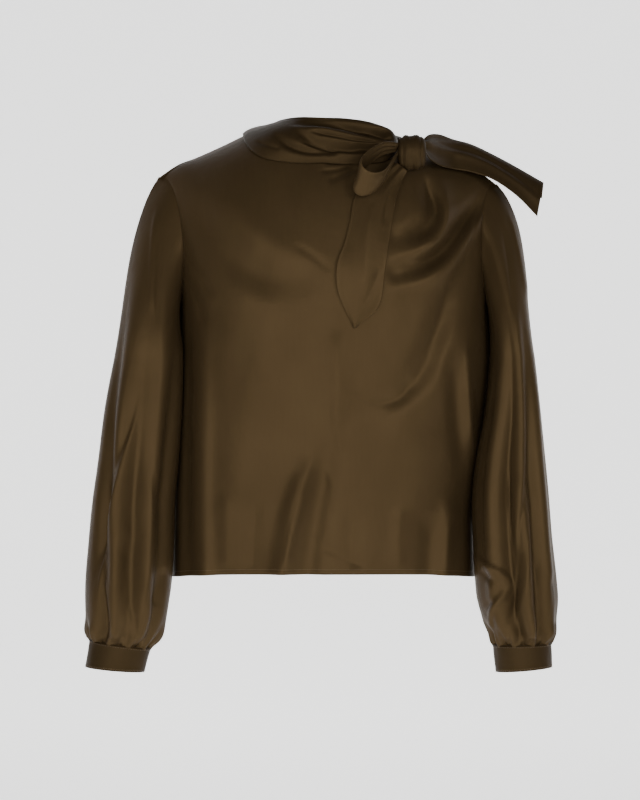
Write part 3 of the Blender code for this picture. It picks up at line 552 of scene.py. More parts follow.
# Fine creases of the sleeves' fronts and backs, as paths of (x, z) seen from the front
SLEEVE_CREASES = {
    (RIGHT, FRONT): (
        ("shoulder stripe", 0.0022, 0.0040, 0.4, ((-0.205, -0.062), (-0.210, -0.100), (-0.211, -0.212))),
        ("shoulder stripe shade", -0.0018, 0.0040, 0.3, (
            (-0.201, -0.080), (-0.203, -0.140), (-0.203, -0.230))),
        ("long diagonal", 0.0036, 0.0065, 0.75, (
            (-0.221, -0.283), (-0.230, -0.337), (-0.240, -0.376), (-0.251, -0.424),
            (-0.259, -0.458), (-0.269, -0.497), (-0.275, -0.531), (-0.276, -0.580))),
        ("long diagonal shade", -0.0036, 0.0055, -0.4, (
            (-0.229, -0.300), (-0.238, -0.345), (-0.250, -0.390), (-0.261, -0.436),
            (-0.269, -0.470), (-0.279, -0.512), (-0.284, -0.560))),
        ("inner line", 0.0028, 0.0045, -0.6, (
            (-0.213, -0.380), (-0.212, -0.440), (-0.214, -0.495),
            (-0.215, -0.525), (-0.220, -0.556), (-0.226, -0.596))),
        ("inner line shade", -0.0024, 0.0050, 0.3, (
            (-0.205, -0.400), (-0.204, -0.450), (-0.206, -0.500), (-0.208, -0.535), (-0.214, -0.570))),
        ("cuff hollow", -0.0050, 0.0075, 0.0, (
            (-0.239, -0.470), (-0.241, -0.519), (-0.246, -0.568), (-0.247, -0.612))),
        ("cuff ridge", 0.0034, 0.0045, 0.2, (
            (-0.268, -0.520), (-0.264, -0.544), (-0.259, -0.575), (-0.256, -0.608))),
        ("cuff fold high", 0.0026, 0.0030, 0.2, ((-0.236, -0.560), (-0.235, -0.585), (-0.235, -0.608))),
        ("cuff fold low", -0.0026, 0.0030, 0.2, ((-0.228, -0.570), (-0.228, -0.590), (-0.229, -0.608))),
        ("inner hollow", -0.0026, 0.0055, 0.2, ((-0.190, -0.515), (-0.196, -0.540), (-0.206, -0.566))),
    ),
    (RIGHT, BACK): (
        ("elbow crease", -0.0030, 0.0055, 0.3, ((-0.205, -0.260), (-0.232, -0.320), (-0.262, -0.360))),
        ("back long ridge", 0.0032, 0.0060, 0.6, ((-0.222, -0.240), (-0.236, -0.380), (-0.246, -0.560))),
        ("back fold", -0.0028, 0.0055, 0.3, ((-0.250, -0.330), (-0.262, -0.440), (-0.268, -0.570))),
        ("back cuff hollow", -0.0040, 0.0065, 0.0, ((-0.226, -0.480), (-0.230, -0.540), (-0.236, -0.610))),
    ),
    (LEFT, FRONT): (
        ("shoulder ridge", 0.0024, 0.0050, 0.4, ((0.229, -0.070), (0.240, -0.120), (0.251, -0.192))),
        ("shoulder shade", -0.0020, 0.0045, 0.3, ((0.221, -0.090), (0.228, -0.140), (0.234, -0.215))),
        ("short dark line", -0.0030, 0.0030, 0.5, (
            (0.228, -0.385), (0.226, -0.4365), (0.230, -0.477), (0.233, -0.501), (0.236, -0.525))),
        ("long dark line", -0.0036, 0.0034, 0.5, (
            (0.247, -0.375), (0.2455, -0.398), (0.242, -0.437), (0.238, -0.471), (0.238, -0.507),
            (0.236, -0.531), (0.232, -0.552), (0.226, -0.576), (0.224, -0.606))),
        ("between the lines", 0.0022, 0.0040, 0.0, (
            (0.236, -0.400), (0.234, -0.440), (0.234, -0.480), (0.236, -0.500))),
        ("beside the long line", 0.0028, 0.0050, 0.4, (
            (0.254, -0.400), (0.251, -0.445), (0.248, -0.500),
            (0.244, -0.540), (0.236, -0.575), (0.232, -0.606))),
        ("curved fold", 0.0044, 0.0050, -0.7, (
            (0.180, -0.500), (0.194, -0.508), (0.209, -0.5155), (0.226, -0.531), (0.2275, -0.541),
            (0.220, -0.554), (0.209, -0.570), (0.208, -0.600))),
        ("curved fold shade", -0.0034, 0.0050, 0.0, (
            (0.190, -0.520), (0.204, -0.528), (0.215, -0.538), (0.212, -0.552), (0.200, -0.568))),
        ("outer hollow", -0.0030, 0.0050, 0.0, ((0.262, -0.500), (0.261, -0.540), (0.259, -0.585))),
        ("outer ridge", 0.0026, 0.0034, 0.0, ((0.256, -0.560), (0.255, -0.585), (0.254, -0.608))),
        ("far hollow", -0.0026, 0.0045, 0.0, ((0.277, -0.520), (0.278, -0.560), (0.272, -0.600))),
    ),
    (LEFT, BACK): (
        ("elbow crease", -0.0030, 0.0055, 0.3, ((0.210, -0.250), (0.238, -0.310), (0.262, -0.345))),
        ("back long ridge", 0.0032, 0.0060, 0.6, ((0.226, -0.230), (0.238, -0.380), (0.246, -0.560))),
        ("back fold", -0.0028, 0.0055, 0.3, ((0.252, -0.320), (0.262, -0.430), (0.266, -0.570))),
        ("back cuff hollow", -0.0040, 0.0065, 0.0, ((0.228, -0.470), (0.232, -0.540), (0.238, -0.610))),
    ),
}
SLEEVE_GRID = {"around": 156, "cap rows": 56, "lower rows": 120}
CAP_BUNCHING = 1.7
WRIST_BUNCHING = 1.35
HEAD_LEAVE = 0.75
CAP_TUCK = (0.0040, 0.0022, 0.0020)
CAP_TUCK_STEPS = (0.4, 1.0)
WRIST_TUCK = 0.07
WRIST_TUCK_DROP = 0.0045
PUCKER_HEIGHT = 0.0009
UNDERARM_SEAM_DEPTH = 0.0006
UNDERARM_SEAM_WIDTH = 0.022


def armhole_point(side, around):
    """The armhole's edge, from 0 at the shoulder point over the front to half a turn at the underarm."""
    rise = 0.5 + 0.5 * np.cos(around)
    edge = np.where(
        (np.sin(around) >= 0)[..., None],
        body_point(FRONT, side * armhole_share(FRONT, rise), 1 + rise),
        body_point(BACK, side * armhole_share(BACK, rise), 1 + rise),
    )
    edge[..., 0] += side * ARMHOLE_GAP
    return edge


def sleeve_ring(side, z, around):
    """Level rings of the sleeve, kept just clear of the body beside them."""
    sizes = SLEEVE[side]
    outer, inner = sizes.at(z, "outer"), sizes.at(z, "inner")
    middle, depth = sizes.at(z, "middle"), sizes.at(z, "depth")
    x = 0.5 * (outer + inner) + 0.5 * (outer - inner) * np.cos(around)
    y = middle - depth * np.sin(around)
    x, y, z = np.broadcast_arrays(x, y, z)
    width = TORSO.at(z, SIDE_NAMES[side]) + BODY_CLEARANCE
    body_depth = np.where(y < 0, torso_depth(FRONT, z), torso_depth(BACK, z)) + BODY_CLEARANCE
    inside = ((x / width) ** ROUNDNESS + (np.abs(y) / body_depth) ** ROUNDNESS) ** (1 / ROUNDNESS)
    inside = np.where(z < HEM_Z - 0.012, 1.0, np.minimum(inside, 1.0))
    return points(side * x / inside, y / inside, z)


def sleeve_fold(side, around, along):
    """The long folds and, near the cuff, the gathers, as a height over the plain sleeve."""
    degrees = np.degrees(around)
    degrees = np.where(degrees > 180, degrees - 360, degrees)
    height = np.zeros(np.broadcast_shapes(degrees.shape, along.shape))
    for _, top, bottom, half_width, size in SLEEVE_FOLDS[side]:
        away = (degrees - mix(top, bottom, along)) / half_width
        height += size * smooth_step(0.12, 0.6, along) * np.exp(-away * away)
    height *= smooth_step(1.0, 0.93, along)
    gathered = smooth_step(0.86, 0.96, along) * smooth_step(1.02, 0.99, along)
    height += gathered * GATHER_HEIGHT * np.cos(GATHERS * around)
    puckers = smooth_step(0.90, 0.985, along) * smooth_step(1.02, 0.99, along)
    height += puckers * PUCKER_HEIGHT * np.cos(3 * GATHERS * around + 1.5 * np.sin(2 * around))
    return height


def sleeve(side):
    """A sleeve as a grid of points, from the armhole down to the cuff and round from the outer side."""
    sizes = SLEEVE[side]
    wrist = 0.5 * (sizes.column("outer")[0] + sizes.column("inner")[0])
    around = np.linspace(0.0, 2 * math.pi, SLEEVE_GRID["around"] + 1)[None, :]
    cap_share = SLEEVE_CAP_ROWS / SLEEVE_ROWS

    cap = np.linspace(0.0, 1.0, SLEEVE_GRID["cap rows"] + 1)[:-1, None] ** CAP_BUNCHING
    start, end = armhole_point(side, around), sleeve_ring(side, np.full((1, 1), UPPER_ARM_Z), around)
    reach = length_of(end - start)
    up = 0.5 + 0.5 * np.cos(around)
    leave = points(side * mix(0.10, SLEEVE_HEAD_FLARE[side], up), -0.18 * np.sin(around), -mix(1.0, 0.80, up))
    arrive = points(side * mix(0.0, 0.17, up), 0 * up, -1.0)
    leave, arrive = leave / length_of(leave) * reach * HEAD_LEAVE, arrive / length_of(arrive) * reach
    head = hermite(start, leave, end, arrive, cap[..., None])

    fall = np.linspace(0.0, 1.0, SLEEVE_GRID["lower rows"] + 1)[:, None]
    lower = sleeve_ring(side, mix(UPPER_ARM_Z, SLEEVE_END_Z, 1 - (1 - fall) ** WRIST_BUNCHING), around)

    grid = np.concatenate((head, lower))
    along = np.concatenate((cap * cap_share, mix(cap_share, 1.0, fall)))
    outward = outward_of(grid) * side
    outward[:, [0, -1]] = 0.5 * (outward[:, [0]] + outward[:, [-1]])
    outward[..., 2] *= smooth_step(1.0, 0.85, along)
    outward /= np.maximum(length_of(outward), 1e-9)
    height = sleeve_fold(side, around, along)
    x, z = grid[..., 0], grid[..., 2]
    forward = smooth_step(0.05, -0.05, np.sin(-around) + 0 * along)
    away_from_seams = smooth_step(0.0, 0.10, along) * smooth_step(1.0, 0.98, along)
    height += away_from_seams * forward * crease_height(SLEEVE_CREASES[side, FRONT], x, z)
    height += away_from_seams * (1 - forward) * crease_height(SLEEVE_CREASES[side, BACK], x, z)
    height += away_from_seams * drape_wave(x + 0.3 * grid[..., 1], z)
    from_seam = (around - math.pi) / UNDERARM_SEAM_WIDTH
    height -= UNDERARM_SEAM_DEPTH * np.exp(-from_seam * from_seam)
    grid = grid + outward * height[..., None]
    tilt = math.tan(SLEEVE_END_TILT[side]) * smooth_step(0.82, 1.0, along)
    grid[..., 2] += tilt * (side * grid[..., 0] - wrist)
    grid = seam_roll(grid if side == LEFT else grid[:, ::-1], ("low", "high"))
    under_panel = points(-side * CAP_TUCK[0], CAP_TUCK[1] * np.sin(around), -CAP_TUCK[2] * up)
    under_panel = under_panel if side == LEFT else under_panel[:, ::-1]
    grid = tucked(grid, "low", [step * under_panel for step in CAP_TUCK_STEPS])
    middle = np.mean(grid[-1:], axis=1, keepdims=True)
    into_cuff = (middle - grid[-1:]) * WRIST_TUCK + (0.0, 0.0, -WRIST_TUCK_DROP)
    return tucked(grid, "high", [into_cuff])


CUFF_GRID = {"around": 190, "rows": 14}
CUFF_EASE = 0.0006
CUFF_TAPER = 0.0012
CUFF_RIPPLE = 0.00025


def cuff_place(side, u, v):
    """Points of a cuff: a strip wound round the wrist with its end lapped over."""
    sizes = SLEEVE[side]
    outer, inner = sizes.column("outer")[0], sizes.column("inner")[0]
    half_width, half_depth = 0.5 * (outer - inner) + CUFF_EASE, sizes.column("depth")[0] + CUFF_EASE
    lap_start = 1 - CUFF_LAP / (2 * math.pi + CUFF_LAP)
    turn = CUFF_OPENING + u * (2 * math.pi + CUFF_LAP)
    lift = CUFF_LAP_RISE * smooth_step(lap_start - 0.07, lap_start, u)
    swing = math.tan(CUFF_SWING[side]) * v * CUFF_HEIGHT
    out = (half_width + lift - CUFF_TAPER * v) * np.cos(turn)
    depth = (half_depth + lift - CUFF_TAPER * v) * np.sin(turn)
    slope = np.tan(mix(SLEEVE_END_TILT[side], CUFF_HEM_TILT[side], v))
    drop = -v * CUFF_HEIGHT + slope * out
    wrist = side * 0.5 * (outer + inner)
    middle, top = sizes.column("middle")[0], SLEEVE_END_Z - CUFF_SEAM_GAP
    return points(wrist + side * (out + swing), middle - depth, top + drop)


def cuff(side):
    """A cuff as a grid of points, pressed flat with slightly softened edges."""
    u = np.linspace(0.0, 1.0, CUFF_GRID["around"] + 1)[None, :]
    v = np.linspace(0.0, 1.0, CUFF_GRID["rows"] + 1)[:, None]
    grid = cuff_place(side, u, v)
    grid = grid if side == LEFT else grid[:, ::-1]
    ripple = CUFF_RIPPLE * np.sin(41 * u + 3 * v) * np.sin(math.pi * v)
    return grid + outward_of(grid) * ripple[..., None]


# The collar is a soft folded band round the neck: its upper edge, how far its middle bulges, and
# how far its lower edge laps over the body, at angles from the wearer's left towards the front
COLLAR = Table(
    ("degrees", "out", "z", "bulge", "lap"),
    (20, 0.0955, 0.0120, 0.0020, 0.005),
    (30, 0.1010, 0.0170, 0.0030, 0.007),
    (38, 0.1020, 0.0215, 0.0045, 0.008),
    (50, 0.0880, 0.0290, 0.0070, 0.010),
    (65, 0.0730, 0.0330, 0.0090, 0.010),
    (90, 0.0640, 0.0345, 0.0110, 0.010),
    (120, 0.0610, 0.0360, 0.0110, 0.010),
    (150, 0.0610, 0.0345, 0.0080, 0.009),
    (180, 0.0620, 0.0320, 0.0060, 0.008),
    (215, 0.0600, 0.0320, 0.0050, 0.007),
    (270, 0.0570, 0.0320, 0.0050, 0.007),
    (320, 0.0660, 0.0300, 0.0050, 0.007),
    (345, 0.0800, 0.0230, 0.0040, 0.006),
    (362, 0.0950, 0.0140, 0.0020, 0.004),
)
COLLAR_START, COLLAR_END = 20.0, 362.0
COLLAR_CENTRE_Y = -0.010
COLLAR_SQUARENESS = {FRONT: 3.0, BACK: 2.2}
COLLAR_STAND_OFF = 0.0026
COLLAR_FOLDS = (
    ("top roll trough", -0.0080, 0.0050, 1.0, (
        (-0.048, 0.030), (-0.010, 0.029), (0.016, 0.026), (0.048, 0.018), (0.080, 0.010))),
    ("top roll", 0.0040, 0.0060, 1.0, ((-0.050, 0.038), (0.010, 0.038), (0.050, 0.030), (0.078, 0.020))),
    ("middle ridge", 0.0050, 0.0050, 1.0, ((-0.040, 0.022), (0.000, 0.018), (0.030, 0.010), (0.080, 0.000))),
    ("middle trough", -0.0070, 0.0050, 1.0, (
        (-0.038, 0.022), (-0.016, 0.006), (0.014, -0.002), (0.080, -0.005))),
    ("lower trough", -0.0060, 0.0045, 1.0, (
        (-0.062, 0.016), (-0.044, 0.000), (-0.022, -0.008), (0.012, -0.009))),
)

COLLAR_CREASES = (
    ("roll crease", -0.0048, 0.0028, 0.4, (
        (-0.044, 0.0260), (-0.006, 0.0240), (0.024, 0.0205), (0.060, 0.0135))),
    ("fan crease high", -0.0052, 0.0028, 0.4, (
        (-0.020, 0.0170), (0.010, 0.0110), (0.040, 0.0050), (0.074, 0.0020))),
    ("fan crease low", -0.0050, 0.0026, 0.3, (
        (-0.030, 0.0050), (-0.006, -0.0030), (0.020, -0.0070), (0.050, -0.0090))),
    ("left fan one", 0.0020, 0.0024, 0.3, ((0.030, 0.0200), (0.055, 0.0130), (0.082, 0.0040))),
    ("left fan two", 0.0020, 0.0022, 0.3, ((0.030, 0.0010), (0.055, 0.0000), (0.084, -0.0020))),
    ("right pinch", -0.0018, 0.0026, 0.2, ((-0.084, 0.0060), (-0.070, 0.0000), (-0.052, -0.0060))),
)
COLLAR_BACK_FOLDS = (
    ("back roll", -0.0030, 0.0045, 0.2, (
        (-0.070, 0.0180), (-0.020, 0.0160), (0.030, 0.0170), (0.075, 0.0120))),
    ("back ridge", 0.0020, 0.0050, 0.2, ((-0.070, 0.0250), (-0.010, 0.0245), (0.050, 0.0230))),
)
COLLAR_GRID = {"around": 250, "rows": 52}
COLLAR_LEAN = 0.35
COLLAR_TOP_ROLL = 0.0008
COLLAR_LOW_ROLL = 0.0006


def collar_seat(degrees, outset):
    """Spots round the neck, from the wearer's left towards the front, outset from the neck hole's edge."""
    angle = np.radians(degrees)
    left, front = np.cos(angle) >= 0, np.sin(angle) >= 0
    power = 2 / np.where(front, COLLAR_SQUARENESS[FRONT], COLLAR_SQUARENESS[BACK])
    out = outset / np.where(left, SHOULDER_OUT[LEFT], SHOULDER_OUT[RIGHT])
    share = np.where(left, neck_share(LEFT), neck_share(RIGHT)) + out
    across = np.where(left, 1, -1) * np.abs(np.cos(angle)) ** power * share
    top = np.where(left, SHOULDER[LEFT].at(0, "z"), SHOULDER[RIGHT].at(0, "z"))
    dip = np.where(front, NECK_DIP[FRONT], NECK_DIP[BACK]) + outset / (top - UNDERARM_Z)
    return across, 2 - np.abs(np.sin(angle)) ** power * dip


def collar():
    """The collar as a grid of points, from its lower edge up and round from the wearer's left."""
    degrees = np.linspace(COLLAR_START, COLLAR_END, COLLAR_GRID["around"] + 1)[None, :]
    v = np.linspace(0.0, 1.0, COLLAR_GRID["rows"] + 1)[:, None]
    angle = np.radians(degrees)
    across, height = collar_seat(degrees, COLLAR.at(degrees, "lap"))
    seats = {}
    for face in (FRONT, BACK):
        seats[face] = body_point(face, across, height) + body_normal(face, across, height) * COLLAR_STAND_OFF
    in_front = (np.sin(angle) >= 0)[..., None]
    low = np.where(in_front, seats[FRONT], seats[BACK])
    out = COLLAR.at(degrees, "out")
    high = points(out * np.cos(angle), COLLAR_CENTRE_Y - out * np.sin(angle), COLLAR.at(degrees, "z"))
    outward = points(np.cos(angle), -np.sin(angle), COLLAR_LEAN)
    outward = outward / length_of(outward)
    swell = np.where((v > 0) & (v < 0.95), np.sin(math.pi * np.clip(v * 1.05, 0, 1)), 0.0) ** 0.8
    bulge = COLLAR.at(degrees, "bulge") * swell
    grid = low * (1 - v[..., None]) + high * v[..., None] + outward * bulge[..., None]
    x, z = grid[..., 0], grid[..., 2]
    front_share = smooth_step(-0.08, 0.08, np.sin(angle)) + 0 * v
    folded = front_share * (fold_height(COLLAR_FOLDS, x, z) + crease_height(COLLAR_CREASES, x, z))
    folded += (1 - front_share) * crease_height(COLLAR_BACK_FOLDS, x, z)
    hold = np.sin(math.pi * v) ** 0.5
    grid = grid + outward * (folded * hold)[..., None]
    edge_roll = hump(1 - v, 0.05) * COLLAR_TOP_ROLL + hump(v, 0.04) * COLLAR_LOW_ROLL
    grid = grid - outward * edge_roll[..., None]
    return grid[:, ::-1]


KNOT_CENTRE = (0.1085, -0.0785, -0.0092)
KNOT_RADII = (0.0178, 0.0170, 0.0222)
KNOT_GRID = {"around": 144, "rows": 96}
KNOT_WRAPS = 4.0
KNOT_WRAP_DEPTH = 0.085
KNOT_FINE_DEPTHS = (0.012, 0.010)


def knot():
    """The wrapped knot as a closed grid of points: bands of cloth pulled round it, with fine creases."""
    turn = np.linspace(0.0, 2 * math.pi, KNOT_GRID["around"] + 1)[None, :]
    tilt = np.linspace(0.0, math.pi, KNOT_GRID["rows"] + 1)[:, None]
    x = -np.cos(tilt) + 0 * turn
    ring = np.sin(tilt) ** 0.5
    phase = KNOT_WRAPS * math.pi * x + 0.9 * np.sin(turn + 0.6) + 0.35 * np.sin(2 * turn)
    wraps = np.abs(np.sin(0.5 * phase)) ** 0.6
    fine = np.sin(4.0 * phase + 1.2 * np.sin(turn)) * KNOT_FINE_DEPTHS[0]
    fine = fine + np.sin(9.0 * x + 3 * turn) * KNOT_FINE_DEPTHS[1]
    swell = 0.90 + KNOT_WRAP_DEPTH * wraps + fine
    y, z = np.cos(turn) * ring * swell, np.sin(turn) * ring * swell
    squared = np.sign(x) * np.abs(x) ** 0.7
    spots = points(squared * KNOT_RADII[0], y * KNOT_RADII[1], z * KNOT_RADII[2])
    return spots + KNOT_CENTRE


# The bow's loop: its near edge as seen from the front, and the width of the band behind it
LOOP = Table(
    ("along", "x", "z", "y", "wide"),
    (0.00, 0.0932, 0.0015, -0.0885, 0.011),
    (0.14, 0.0750, 0.0020, -0.1070, 0.020),
    (0.28, 0.0565, -0.0085, -0.1270, 0.029),
    (0.38, 0.0480, -0.0185, -0.1360, 0.033),
    (0.48, 0.0478, -0.0295, -0.1400, 0.034),
    (0.56, 0.0537, -0.0355, -0.1395, 0.034),
    (0.66, 0.0645, -0.0375, -0.1350, 0.031),
    (0.76, 0.0760, -0.0330, -0.1240, 0.026),
    (0.88, 0.0850, -0.0200, -0.1050, 0.016),
    (1.00, 0.0922, -0.0080, -0.0885, 0.009),
)
LOOP_BACK = Vector((-0.28, 0.40, -0.80)).normalized()
LOOP_GRID = {"along": 150, "across": 34}
LOOP_PLEATS = 0.0010
LOOP_WAVES = 0.0008
TIE_EDGE = 0.0006


def loop():
    """The bow's loop: along the band from the knot and back to it, and across it from its near edge."""
    u = np.linspace(0.0, 1.0, LOOP_GRID["along"] + 1)[None, :]
    v = np.linspace(0.0, 1.0, LOOP_GRID["across"] + 1)[:, None]
    near = points(LOOP.at(u, "x"), LOOP.at(u, "y"), LOOP.at(u, "z"))
    grid = near + np.array(LOOP_BACK) * (LOOP.at(u, "wide") * v)[..., None]
    gathered = smooth_step(0.30, 0.0, u) + smooth_step(0.70, 1.0, u)
    pleats = LOOP_PLEATS * gathered * np.cos(6 * math.pi * v) + LOOP_WAVES * np.sin(2 * math.pi * v + 9 * u)
    edge = TIE_EDGE * (hump(v, 0.05) + hump(1 - v, 0.05))
    return grid + outward_of(grid) * (pleats * np.sin(math.pi * u) ** 0.4 + edge)[..., None]


# The tail that hangs on the front, by its edges as seen from the front
TAIL_FRONT = Table(
    ("along", "right_x", "right_z", "left_x", "left_z", "off"),
    (0.00, 0.0872, -0.0200, 0.1030, -0.0322, 0.0110),
    (0.08, 0.0740, -0.0310, 0.0990, -0.0390, 0.0060),
    (0.20, 0.0560, -0.0460, 0.0940, -0.0510, 0.0032),
    (0.32, 0.0390, -0.0650, 0.0890, -0.0690, 0.0030),
    (0.48, 0.0325, -0.0950, 0.0842, -0.0960, 0.0028),
    (0.62, 0.0258, -0.1220, 0.0797, -0.1230, 0.0036),
    (0.75, 0.0165, -0.1500, 0.0750, -0.1560, 0.0044),
    (0.86, 0.0180, -0.1809, 0.0680, -0.1975, 0.0032),
    (1.00, 0.0373, -0.2255, 0.0388, -0.2255, 0.0008),
)
TAIL_FRONT_GRID = {"across": 60, "along": 150}
TAIL_CROWN = 0.003
TAIL_PLEATS = 0.0015
TAIL_CREASES = (
    ("pull from the knot", -0.0016, 0.0040, 0.4, ((0.097, -0.030), (0.080, -0.062), (0.072, -0.104))),
    ("left pull", 0.0014, 0.0035, 0.4, ((0.093, -0.036), (0.090, -0.070), (0.086, -0.110))),
    ("long soft fold", 0.0016, 0.0080, 0.2, ((0.060, -0.070), (0.052, -0.120), (0.050, -0.180))),
    ("tip fold", -0.0012, 0.0050, 0.2, ((0.070, -0.150), (0.060, -0.175), (0.048, -0.200))),
)


def tail_front():
    """The hanging tail, just off the front, from the knot down and across from the wearer's right edge."""
    u = np.linspace(0.0, 1.0, TAIL_FRONT_GRID["across"] + 1)[None, :]
    v = np.linspace(0.0, 1.0, TAIL_FRONT_GRID["along"] + 1)[:, None]
    x = mix(TAIL_FRONT.at(v, "right_x"), TAIL_FRONT.at(v, "left_x"), u)
    z = mix(TAIL_FRONT.at(v, "right_z"), TAIL_FRONT.at(v, "left_z"), u)
    across, height = body_spot(x, z)
    y = body_point(FRONT, across, height)[..., 1]
    crown = TAIL_CROWN * np.sin(math.pi * u)
    pleat = TAIL_PLEATS * smooth_step(0.40, 0.05, v) * (1 - np.cos(4 * math.pi * u))
    creases = crease_height(TAIL_CREASES, x, z)
    edge = TIE_EDGE * (hump(u, 0.04) + hump(1 - u, 0.04))
    return points(x, y - TAIL_FRONT.at(v, "off") - crown - pleat - creases - edge, z)


# The tail that lies over the left shoulder: its crest, front edge and back edge
TAIL_SHOULDER = Table(
    ("along", "x", "crest_y", "crest_z", "front_x", "front_y", "front_z", "back_y", "back_z"),
    (0.00, 0.1238, -0.078, 0.0065, 0.1238, -0.086, -0.0105, -0.070, -0.0080),
    (0.07, 0.1310, -0.066, 0.0118, 0.1300, -0.080, -0.0180, -0.050, 0.0010),
    (0.16, 0.1430, -0.044, 0.0140, 0.1420, -0.066, -0.0240, -0.018, 0.0030),
    (0.30, 0.1610, -0.024, 0.0110, 0.1600, -0.0470, -0.0270, 0.006, -0.0072),
    (0.48, 0.1840, -0.016, 0.0062, 0.1830, -0.0415, -0.0305, 0.014, -0.0165),
    (0.66, 0.2110, -0.013, -0.0060, 0.2100, -0.040, -0.0395, 0.016, -0.0290),
    (0.84, 0.2410, -0.015, -0.0225, 0.2400, -0.040, -0.0600, 0.012, -0.0430),
    (1.00, 0.2740, -0.020, -0.0430, 0.2650, -0.042, -0.0855, 0.006, -0.0600),
)
TAIL_SHOULDER_GRID = {"along": 150, "across": 84}
SHOULDER_PLEATS = 0.0016
SHOULDER_FOLD = -0.0016
SHOULDER_RIDGE = 0.0014
SHOULDER_EDGE = 0.0005


def tail_shoulder():
    """The tail over the shoulder: along it from the knot, and across it from front to back."""
    u = np.linspace(0.0, 1.0, TAIL_SHOULDER_GRID["along"] + 1)[None, :]
    v = np.linspace(0.0, 1.0, TAIL_SHOULDER_GRID["across"] + 1)[:, None]
    at = TAIL_SHOULDER.at
    front = points(at(u, "front_x"), at(u, "front_y"), at(u, "front_z"))
    crest = points(at(u, "x"), at(u, "crest_y"), at(u, "crest_z"))
    back = points(at(u, "x"), at(u, "back_y"), at(u, "back_z"))
    pull = 2 * crest - 0.5 * (front + back)
    v3 = v[..., None]
    grid = front * (1 - v3) ** 2 + pull * 2 * v3 * (1 - v3) + back * v3 * v3
    gathered = smooth_step(0.45, 0.0, u)
    pleats = SHOULDER_PLEATS * gathered * np.cos(7 * math.pi * v + 2 * u)
    fading = smooth_step(0.0, 0.2, u) * smooth_step(1.0, 0.7, u)
    folds = SHOULDER_FOLD * hump(v - 0.30 + 0.10 * u, 0.06) * fading
    folds = folds + SHOULDER_RIDGE * hump(v - 0.20 + 0.05 * u, 0.05) * smooth_step(0.05, 0.3, u)
    edge = SHOULDER_EDGE * (hump(v, 0.04) + hump(1 - v, 0.04))
    return grid + outward_of(grid) * (pleats + folds + edge)[..., None]


class Value:
    """A shader socket with a number on it, which can be written in sums."""

    def __init__(self, finish, socket):
        self.finish = finish
        self.socket = socket

    def maths(self, operation, first, second):
        return self.finish.node("Math", {"operation": operation}, {0: first, 1: second})

    def __add__(self, other):
        return self.maths("ADD", self, other)

    def __mul__(self, other):
        return self.maths("MULTIPLY", self, other)

    __radd__ = __add__


class Finish:
    """A material of this blouse, and the one way in which its nodes are made."""

    def __init__(self, name):
        self.material = bpy.data.materials.new(name)
        self.material.use_nodes = True
        self.tree = self.material.node_tree
        self.surface = self.tree.nodes["Principled BSDF"]

    def plug(self, value, socket):
        if isinstance(value, Value):
            self.tree.links.new(value.socket, socket)
        else:
            socket.default_value = value

    def node(self, kind, settings, inputs, output=0):
        made = self.tree.nodes.new("ShaderNode" + kind)
        for name, setting in settings.items():
            if name == "stops":
                for element, (place, colour) in zip(made.color_ramp.elements, setting):
                    element.position, element.color = place, colour
            else:
                setattr(made, name, setting)
        for name, value in inputs.items():
            self.plug(value, made.inputs[name])
        return Value(self, made.outputs[output])

    def set(self, **inputs):
        for name, value in inputs.items():
            self.plug(value, self.surface.inputs[name.replace("_", " ")])


SATIN_LIGHT = (0.0545, 0.0356, 0.0166, 1)
SATIN_DEEP = (0.0445, 0.0288, 0.0132, 1)
SATIN_LINES = 1100.0


def shaded(colour, depth):
    """A colour made darker."""
    return tuple(part * depth for part in colour[:3]) + (1,)


# depth darkens the whole colour; below 1 it is painted shade
def satin_finish(name, depth):
    """Heavy satin: long floats down the cloth, a soft crumple and a slow drift of colour."""
    cloth = Finish(name)
    place = cloth.node("TexCoord", {}, {}, "Object")
    weave = cloth.node("UVMap", {"uv_map": "weave"}, {})
    drift = cloth.node("TexNoise", {}, {"Vector": place, "Scale": 9.0, "Detail": 3.0})
    stretched = cloth.node("Mapping", {}, {"Vector": weave, "Scale": (260.0, 34.0, 1.0)})
    slub = cloth.node("TexNoise", {}, {"Vector": stretched, "Scale": 1.0, "Detail": 2.0})
    floats = cloth.node(
        "TexWave", {"wave_type": "BANDS", "bands_direction": "DIAGONAL"},
        {"Vector": weave, "Scale": SATIN_LINES, "Distortion": 1.5, "Detail": 1.0, "Detail Scale": 2.0}, "Fac",
    )
    crumple = cloth.node("TexNoise", {}, {"Vector": place, "Scale": 34.0, "Detail": 3.5, "Roughness": 0.48})
    shade = drift * 0.75 + slub * 0.25
    colour = cloth.node(
        "ValToRGB", {"stops": ((0.30, shaded(SATIN_DEEP, depth)), (0.70, shaded(SATIN_LIGHT, depth)))},
        {"Fac": shade}, "Color",
    )
    relief = floats * 0.12 + slub * 0.12
    fine = cloth.node("Bump", {}, {"Strength": 0.25, "Distance": 0.0002, "Height": relief})
    normal = cloth.node("Bump", {}, {"Strength": 0.35, "Distance": 0.0022, "Height": crumple, "Normal": fine})
    cloth.set(Base_Color=colour, Roughness=0.42 + slub * 0.06, Metallic=0.34, Normal=normal)
    cloth.set(Specular_IOR_Level=0.08, Specular_Tint=(0.30, 0.24, 0.16, 1))
    return cloth.material


def thread_finish():
    """The sewing thread, a shade lighter than the cloth and twisted."""
    thread = Finish("thread")
    place = thread.node("TexCoord", {}, {}, "Object")
    twist = thread.node("TexNoise", {}, {"Vector": place, "Scale": 2400.0, "Detail": 1.0})
    colour = thread.node(
        "ValToRGB", {"stops": ((0.35, (0.060, 0.038, 0.018, 1)), (0.65, (0.120, 0.080, 0.042, 1)))},
        {"Fac": twist}, "Color",
    )
    normal = thread.node("Bump", {}, {"Strength": 0.4, "Distance": 0.0001, "Height": twist})
    thread.set(Base_Color=colour, Roughness=0.55, Normal=normal)
    return thread.material


